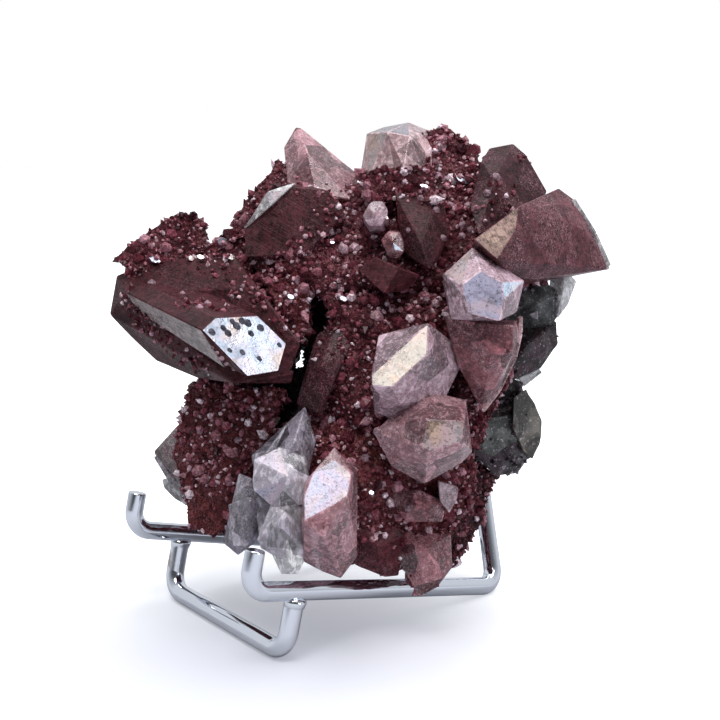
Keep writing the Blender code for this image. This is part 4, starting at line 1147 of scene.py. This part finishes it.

# %% [markdown]
# Dark quartz is glassy outside and full of red iron oxide inside. The light that enters is lost quickly, so
# an opaque shader is enough: a mottled dark red under a clear, hard surface. Fine grooves run across each
# crystal, and a few faces are frosted and mirror the lamps softly; their pale tint is partly a painted
# highlight.

# %% Dark quartz
def speckled(finish, place, body, flecks_colour, most):
    """Fine pale flecks over a body colour, in patches, as the film of tiny crystals on the faces looks."""
    patches = finish.band(finish.grain(place, 0.16, detail=4.0, distortion=0.6), 0.38, 0.60)
    fine = finish.band(finish.grain(place, 3.2, detail=4.0, roughness=0.75), 0.50, 0.62)
    coarse = finish.band(finish.grain(place, 1.1, detail=5.0, roughness=0.7, distortion=0.8), 0.50, 0.64)
    amount = (fine * 0.7 + coarse * 0.3) * (0.2 + patches * 0.8) * most
    return finish.blend(finish.clamped(amount), body, flecks_colour)


def bright_face(finish, place, tint):
    """A mirror face broken up by faint rainbow patches and fine violet scars."""
    # The pale tint given here is partly a painted highlight.
    film = finish.grain(place, 0.10, detail=2.0, distortion=0.8)
    hues = finish.node("ShaderNodeValToRGB", {"stops": [
        (0.32, (1.0, 0.84, 0.72)), (0.42, (1.0, 0.95, 0.96)), (0.52, (0.80, 0.90, 1.0)),
        (0.60, (0.96, 0.90, 1.0)), (0.70, (1.0, 0.93, 0.80))]}, {"Fac": film})
    washed = finish.node("ShaderNodeMix", {"data_type": "RGBA", "blend_type": "MULTIPLY"},
                         {0: 1.0, 6: tint, 7: hues}, output=2)
    scars = finish.band(finish.grain(place, 2.2, detail=5.0, roughness=0.7), 0.50, 0.62)
    return finish.blend(scars * 0.55, washed, finish.tinted(washed, 0.45))


dark = Finish("deep_red_quartz")
dark_place = dark.place()
dark_tint = dark.attribute("tint", "Color")
dark_frost = dark.attribute("frost")
dark_shine = dark.attribute("shine")
dark_groove = dark.attribute("groove")
clouds = dark.band(dark.grain(dark_place, 0.22, detail=5.0, distortion=0.6), 0.3, 0.7)
lines = dark.node("ShaderNodeTexNoise", {"noise_dimensions": "1D"},
                  {"W": dark_groove, "Scale": 2.6, "Detail": 5.0, "Roughness": 0.7})
inner_planes = dark.shards(dark_place, 0.15)
pits = dark.band(dark.grain(dark_place, 0.9, detail=8.0, roughness=0.85), 0.40, 0.58)
dark_shade = (0.35 + clouds * 0.6 + inner_planes * 0.4) * (0.15 + lines * 1.5) * (0.35 + pits * 1.1)
dark_body = dark.tinted(dark_tint, dark_shade)
dark_body = speckled(dark, dark_place, dark_body, (0.36, 0.19, 0.22, 1), dark_frost)
# Faces that shine take the pale bright-face colour, which is partly a painted highlight.
dark_colour = dark.blend(dark.band(dark_shine, 0.2, 0.5), dark_body, bright_face(dark, dark_place, dark_tint))
dark_normal = dark.bump(lines * (1 - dark_shine), 0.14, 0.5)
dark_normal = dark.bump(dark.grain(dark_place, 0.35), 0.4, 0.35, under=dark_normal)
dark_normal = dark.bump(dark.grain(dark_place, 3.0, detail=4.0), 0.06, 0.6, under=dark_normal)
dark_skin = dark.principled(Base_Color=dark_colour, Metallic=dark_shine, Roughness=0.19 + clouds * 0.16,
                            IOR=1.54, Specular_IOR_Level=0.12, Normal=dark_normal)
dark_finish = dark.surface(dark_skin)
dark_piece.data.materials.append(dark_finish)

# %% [markdown]
# Clear quartz is see-through, with milky clouds and frosted faces that are not. A Mix Shader chooses
# between glass and a pale frosted skin, and the body of the glass takes away a little of one colour, more
# the longer the way.

# %% Clear and pink quartz
def clear_quartz(name, body_colour, density, deep_colour, deep_share, flecks_colour, fleck_share, streak):
    """Quartz that can be looked into: its body's colour and strength, its dark depths, flecks and streaks."""
    glass = Finish(name)
    place = glass.place()
    tint = glass.attribute("tint", "Color")
    frost = glass.attribute("frost")
    shine = glass.attribute("shine")
    groove = glass.attribute("groove")
    mist = glass.grain(place, 0.3, detail=6.0, roughness=0.65, distortion=1.2)
    streaks = glass.node("ShaderNodeTexNoise", {"noise_dimensions": "4D"},
                         {"Vector": glass.node("ShaderNodeVectorMath", {"operation": "MULTIPLY"},
                                               {0: place, 1: (1.0, 1.0, streak)}),
                          "W": groove * 0.4, "Scale": 1.3, "Detail": 6.0})
    wisps = glass.band(streaks, 0.50, 0.60)
    planes = glass.shards(place, 0.17)
    # Thin pale lines along the edges of the inner cells: partly healed cracks, partly a painted highlight like
    # the pale lines along facet edges.
    cracks_and_painted_highlights = glass.band(glass.cells(place, 0.17, "DISTANCE_TO_EDGE"), 0.045, 0.0)
    misty = glass.band(mist, 0.52, 0.36)
    cover = glass.clamped(frost * 0.95 + (planes - 0.5) * 0.7 - misty * 0.25 + wisps * 0.25)
    bumpy = glass.bump(glass.grain(place, 0.5, detail=4.0, distortion=1.0), 0.12, 0.6)
    bumpy = glass.bump(glass.grain(place, 4.0, detail=4.0), 0.03, 0.6, under=bumpy)
    inside = glass.principled(Base_Color=(1, 1, 1, 1), Transmission_Weight=1.0, IOR=1.54,
                              Roughness=0.03 + mist * 0.08, Normal=bumpy)
    deeper = glass.band(glass.grain(place, 0.5, detail=8.0, roughness=0.8), 0.56, 0.40)
    tone = 0.42 + planes * 0.75 + wisps * 0.35 + cracks_and_painted_highlights * glass.band(mist, 0.45, 0.6) * 0.5
    body = glass.blend(deeper * deep_share, glass.tinted(tint, tone), (*deep_colour, 1))
    flecked = speckled(glass, place, body, flecks_colour, fleck_share)
    dots = glass.band(glass.grain(place, 2.2, detail=2.0), 0.62, 0.68)
    face_colour = glass.tinted(bright_face(glass, place, tint), 1 - dots * 0.45)
    # Faces that shine take the pale bright-face colour, which is partly a painted highlight.
    skin_colour = glass.blend(glass.band(shine, 0.03, 0.07), flecked, face_colour)
    skin = glass.principled(Base_Color=skin_colour, Metallic=shine, Roughness=0.16 + mist * 0.1, IOR=1.54,
                            Specular_IOR_Level=0.4, Normal=bumpy)
    depth = glass.node("ShaderNodeVolumeAbsorption", inputs={"Color": (*body_colour, 1), "Density": density})
    return glass.surface(glass.mix(cover, inside, skin), Volume=depth)


clear_finish = clear_quartz("clear_quartz", (0.90, 0.87, 0.92), 20.0, (0.46, 0.42, 0.50), 0.35,
                            (1, 0.98, 1, 1), 0.6, streak=0.16)
pink_finish = clear_quartz("pink_quartz", (0.85, 0.50, 0.52), 60.0, (0.14, 0.035, 0.045), 0.6,
                           (0.80, 0.64, 0.70, 1), 0.7, streak=1.0)
clear_piece.data.materials.append(clear_finish)
pink_piece.data.materials.append(pink_finish)

# %% Ground and rock finishes
ground = Finish("druse_ground")
ground_place = ground.place()
ground_mottle = ground.band(ground.grain(ground_place, 0.5, detail=6.0), 0.35, 0.7)
ground_body = ground.tinted(ground.attribute("tint", "Color"), 0.35 + ground_mottle * 0.8)
ground_colour = speckled(ground, ground_place, ground_body, (0.42, 0.15, 0.17, 1), 0.8)
ground_normal = ground.bump(ground.cells(ground_place, 1.1), 0.5, 0.8)
ground_skin = ground.principled(Base_Color=ground_colour, Roughness=0.35, IOR=1.54, Specular_IOR_Level=0.08,
                                Normal=ground_normal)
ground_finish = ground.surface(ground_skin)
ground_piece.data.materials.append(ground_finish)

rock = Finish("broken_rock")
rock_place = rock.place()
rock_patches = rock.band(rock.grain(rock_place, 0.16, detail=6.0, distortion=1.0), 0.42, 0.62)
rock_specks = rock.band(rock.grain(rock_place, 1.6, detail=5.0, roughness=0.7), 0.58, 0.66)
rock_body = rock.tinted(rock.attribute("tint", "Color"), 0.35 + rock_patches * 1.3)
rock_colour = rock.blend(rock_specks * 0.75, rock_body, (0.40, 0.36, 0.41, 1))
rock_normal = rock.bump(rock.cells(rock_place, 0.45), 0.5, 0.6)
rock_normal = rock.bump(rock.grain(rock_place, 2.0, detail=6.0), 0.2, 0.7, under=rock_normal)
rock_skin = rock.principled(Base_Color=rock_colour, Roughness=0.34 - rock_patches * 0.18, IOR=1.54,
                            Specular_IOR_Level=0.3, Normal=rock_normal)
rock_finish = rock.surface(rock_skin)
rock_piece.data.materials.append(rock_finish)

# %% [markdown]
# Druse is thousands of small crystals, too many to place by hand, so Geometry Nodes scatter them: points
# are thrown on the ground where the stored amount allows, each gets one of a few small crystal shapes, and
# it is turned to stand on the surface with a random lean. Four sizes are grown on the ground, from coarse
# to dust, and one on each other group.

# %% Small crystal shapes
def small_crystal(name, width, length, point, chance):
    """A little six-sided crystal that stands on the origin, uneven as real ones are."""
    bm = hull(quartz((0, 0, -0.35 * length), (chance.uniform(-0.1, 0.1), chance.uniform(-0.1, 0.1), length),
                     width, chance.uniform(0, 1), point))
    bmesh.ops.triangulate(bm, faces=bm.faces)
    return to_object(name, bm)


# Width, length and how pointed, all for a crystal of size 1.
SMALL_SHAPES = [(1.0, 0.8, 1.2), (0.9, 1.1, 1.6), (1.15, 0.55, 0.8), (0.8, 0.9, 2.0)]
shape_chance = random.Random(11)
seeds_of_druse = bpy.data.collections.new("small_crystals")
for number, (width, length, point) in enumerate(SMALL_SHAPES):
    shape = small_crystal(f"small_crystal_{number}", width, length, point, shape_chance)
    shape.data.transform(Matrix.Scale(MM, 4))
    bpy.context.scene.collection.objects.unlink(shape)
    seeds_of_druse.objects.link(shape)

# %% The tree that grows druse
druse = Modifier("druse", {"Spacing": "Float", "Most per area": "Float", "Smallest": "Float",
                           "Largest": "Float", "Lean": "Float", "Seed": "Int", "Shapes": "Collection"})
druse_points = druse.node("GeometryNodeDistributePointsOnFaces", {"distribute_method": "POISSON"},
                          {"Mesh": druse.given("Geometry"), "Distance Min": druse.given("Spacing"),
                           "Density Max": druse.given("Most per area"), "Seed": druse.given("Seed"),
                           "Density Factor": druse.named("druse")})
druse_shapes = druse.node("GeometryNodeCollectionInfo",
                          inputs={"Collection": druse.given("Shapes"), "Separate Children": True,
                                  "Reset Children": True})
druse_size = druse.node("FunctionNodeRandomValue", {"data_type": "FLOAT"},
                        {2: druse.given("Smallest"), 3: druse.given("Largest"), "Seed": druse.given("Seed")},
                        output=1)
lean = druse.given("Lean")
lean_back = lean * -1.0
least_turn = druse.node("ShaderNodeCombineXYZ", inputs={0: lean_back, 1: lean_back, 2: -math.pi})
most_turn = druse.node("ShaderNodeCombineXYZ", inputs={0: lean, 1: lean, 2: math.pi})
druse_lean = druse.node("FunctionNodeRandomValue", {"data_type": "FLOAT_VECTOR"},
                        {0: least_turn, 1: most_turn})
druse_turn = druse.node("FunctionNodeEulerToRotation", inputs={0: druse_lean})
druse_stand = druse.node("FunctionNodeRotateRotation", {"rotation_space": "LOCAL"},
                         {"Rotation": druse_points.beside("Rotation"), "Rotate By": druse_turn})
druse_grown = druse.node("GeometryNodeInstanceOnPoints",
                         inputs={"Points": druse_points, "Instance": druse_shapes, "Pick Instance": True,
                                 "Rotation": druse_stand, "Scale": druse_size})
druse_tone = druse.node("FunctionNodeRandomValue", {"data_type": "FLOAT"}, {2: 0.0, 3: 1.0}, output=1)
druse.give(druse.node("GeometryNodeStoreNamedAttribute", {"data_type": "FLOAT", "domain": "INSTANCE"},
                      {"Geometry": druse_grown, "Name": "tone", "Value": druse_tone}))

# %% [markdown]
# Every small crystal got a random tone. Most are as dark as the ground, some are rosy, and a few are nearly
# white, which together with their many small faces gives the glitter of real druse. The nearly white tones
# are partly a painted highlight: they stand for that glitter as well as for paler crystals.

# %% Druse finish
def druse_finish(name, tones, dust_colour):
    """A finish for small crystals whose colour depends on their random tone."""
    grains = Finish(name)
    shade = grains.node("ShaderNodeValToRGB", {"stops": tones}, {"Fac": grains.attribute("tone")})
    place = grains.place()
    dust = grains.band(grains.grain(place, 3.0), 0.4, 0.7)
    mottle = grains.band(grains.grain(place, 1.6, detail=6.0, roughness=0.8), 0.42, 0.60)
    colour = grains.tinted(grains.blend(dust * 0.25, shade, dust_colour), 0.42 + mottle * 0.9)
    skin = grains.principled(Base_Color=colour, Roughness=0.14 + dust * 0.16, IOR=1.54,
                             Specular_IOR_Level=0.16,
                             Normal=grains.bump(grains.grain(place, 6.0), 0.02, 0.4))
    return grains.surface(skin)


# The top stops, rosy to nearly white, are partly a painted highlight: they stand for the glitter of tiny faces
# as well as for paler crystals.
red_druse = druse_finish("druse", [
    (0.0, (0.022, 0.003, 0.006)), (0.30, (0.090, 0.013, 0.022)), (0.58, (0.23, 0.060, 0.085)),
    (0.82, (0.45, 0.22, 0.27)), (1.0, (0.90, 0.76, 0.84))], (0.34, 0.13, 0.16, 1))
grey_druse = druse_finish("grey_druse", [
    (0.0, (0.012, 0.006, 0.009)), (0.45, (0.035, 0.022, 0.028)), (0.72, (0.10, 0.085, 0.095)),
    (0.88, (0.24, 0.20, 0.24)), (1.0, (0.62, 0.56, 0.64))], (0.18, 0.16, 0.17, 1))


# %% Grow it
def grow(name, ground_object, spacing, most, smallest, largest, lean, seed, finish=red_druse):
    """Druse on a copy of one piece, as a piece of its own."""
    mesh = druse.run(name, ground_object.data, {
        "Spacing": spacing * MM, "Most per area": most / MM ** 2, "Smallest": smallest, "Largest": largest,
        "Lean": lean, "Seed": seed, "Shapes": seeds_of_druse, "Finish": finish})
    print(name, len(mesh.polygons), "faces")
    return add_object(name, mesh)


# Name, where it grows, spacing, most per area, smallest, largest, lean and seed.
druse_pieces = [
    grow("coarse_druse_on_ground", ground_piece, 1.9, 0.16, 1.1, 2.7, 0.75, 3),
    grow("fine_druse_on_ground", ground_piece, 0.9, 0.65, 0.6, 1.2, 0.9, 5),
    grow("finest_druse_on_ground", ground_piece, 0.9, 0.65, 0.45, 0.9, 0.9, 6),
    grow("dust_druse_on_ground", ground_piece, 0.85, 0.55, 0.3, 0.6, 0.9, 7),
    grow("druse_on_dark_crystals", dark_piece, 0.8, 0.9, 0.45, 1.4, 0.8, 8),
    grow("druse_on_rock", rock_piece, 0.9, 0.6, 0.45, 1.2, 0.7, 13, grey_druse),
    grow("druse_on_clear_crystals", clear_piece, 1.2, 0.3, 0.4, 1.0, 0.8, 21),
    grow("druse_on_pink_crystals", pink_piece, 1.1, 0.4, 0.5, 1.3, 0.8, 34),
]

# %% Put every piece on the cluster's body
for piece in (dark_piece, ground_piece, rock_piece, clear_piece, pink_piece, *druse_pieces):
    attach(piece, "root")
    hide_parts("crystal_cluster")
for helper in (slit_cutter, wire_cutter):
    bpy.data.objects.remove(helper)
for shape in list(seeds_of_druse.objects):
    bpy.data.objects.remove(shape)

# %% [markdown]
# The cluster was photographed on white, in soft light from above, with a second lamp low on the right that
# the bright faces mirror. A face mirrors a lamp only where the lamp stands in the right direction, so the
# two lamps are placed by reflecting the line of sight in the faces that shine.

# %% Floor
HALF_FLOOR = 1.5
SHADE_MIDDLE = Vector((24.0, -6.0, 0.0))
SHADE_REACH = 120.0
floor_mesh = bpy.data.meshes.new("floor")
floor_corners = [(HALF_FLOOR * x, HALF_FLOOR * y, 0) for x, y in ((-1, -1), (1, -1), (1, 1), (-1, 1))]
floor_mesh.from_pydata(floor_corners, [], [(0, 1, 2, 3)])
floor = add_object("floor", floor_mesh)
paper = Finish("white_paper")
# Near the middle, under the cluster and the stand, the paper's colour and glow are turned down: a painted
# shadow.
from_stand = paper.node("ShaderNodeVectorMath", {"operation": "DISTANCE"},
                        {0: paper.place(), 1: SHADE_MIDDLE}, output="Value")
outside_painted_shadow = paper.band(from_stand, 10, SHADE_REACH)
seen_paper = paper.principled(
    Base_Color=paper.blend(outside_painted_shadow, (0.50, 0.51, 0.56, 1), (0.90, 0.91, 0.94, 1)), Roughness=0.9,
    Emission_Color=paper.blend(outside_painted_shadow, (0.42, 0.43, 0.48, 1), (1, 1, 1, 1)), Emission_Strength=0.66)
lighting_paper = paper.principled(Base_Color=(0.50, 0.51, 0.55, 1), Roughness=0.9)
seen = paper.node("ShaderNodeLightPath", output="Is Camera Ray")
floor.data.materials.append(paper.surface(paper.mix(seen, lighting_paper, seen_paper)))

# %% Room light
world = bpy.data.worlds.new("studio")
bpy.context.scene.world = world
world.use_nodes = True
room = Nodes(world.node_tree)
front = Vector((math.sin(FACE_TURN), -math.cos(FACE_TURN), 0.0))
direction = room.node("ShaderNodeTexCoord", output="Generated")
towards_camera = room.node("ShaderNodeVectorMath", {"operation": "DOT_PRODUCT"}, {0: direction, 1: front},
                           output="Value")
room_shade = room.node("ShaderNodeMapRange",
                       inputs={"Value": towards_camera, "From Min": -0.2, "From Max": 0.8, "To Min": 0.75,
                               "To Max": 0.09})
lit_room = room.node("ShaderNodeBackground", inputs={"Color": (0.93, 0.96, 1.0, 1), "Strength": room_shade})
seen_room = room.node("ShaderNodeBackground", inputs={"Color": (1, 1, 1, 1), "Strength": 1.0})
room_seen = room.node("ShaderNodeLightPath", output="Is Camera Ray")
room_mix = room.node("ShaderNodeMixShader", inputs={0: room_seen, 1: lit_room, 2: seen_room})
room.node("ShaderNodeOutputWorld", inputs={0: room_mix})
bpy.context.scene.view_settings.view_transform = "Standard"

# %% Lamps
def lamp(name, towards, distance, width, height, watts, colour=(1, 1, 1)):
    """A soft box in a direction from the middle of the cluster, facing it."""
    data = bpy.data.lights.new(name, "AREA")
    data.shape, data.size, data.size_y = "RECTANGLE", width, height
    data.energy, data.color = watts, colour
    made = add_object(name, data)
    made.location = FACE_CENTRE * MM + towards.normalized() * distance
    made.rotation_euler = towards.to_track_quat("Z", "Y").to_euler()


def mirror_direction(across, up):
    """Where a face with that slope looks when it is seen from the camera."""
    face = Vector((across, -1.0, up)).normalized()
    sight = Vector((0, 1, 0))
    return face_turned.to_3x3() @ (sight - 2 * sight.dot(face) * face)


lamp("overhead_box", Vector((0.1, 0.1, 1.0)), 0.75, 0.7, 0.7, 5.0)
lamp("front_top_box", mirror_direction(*LAMP_SLOPES["top"]), 0.6, 0.30, 0.22, 1.6, (1.0, 0.98, 0.95))
lamp("right_box", mirror_direction(*LAMP_SLOPES["right"]), 0.6, 0.26, 0.26, 1.0, (0.95, 0.97, 1.0))
print("lamps lit")
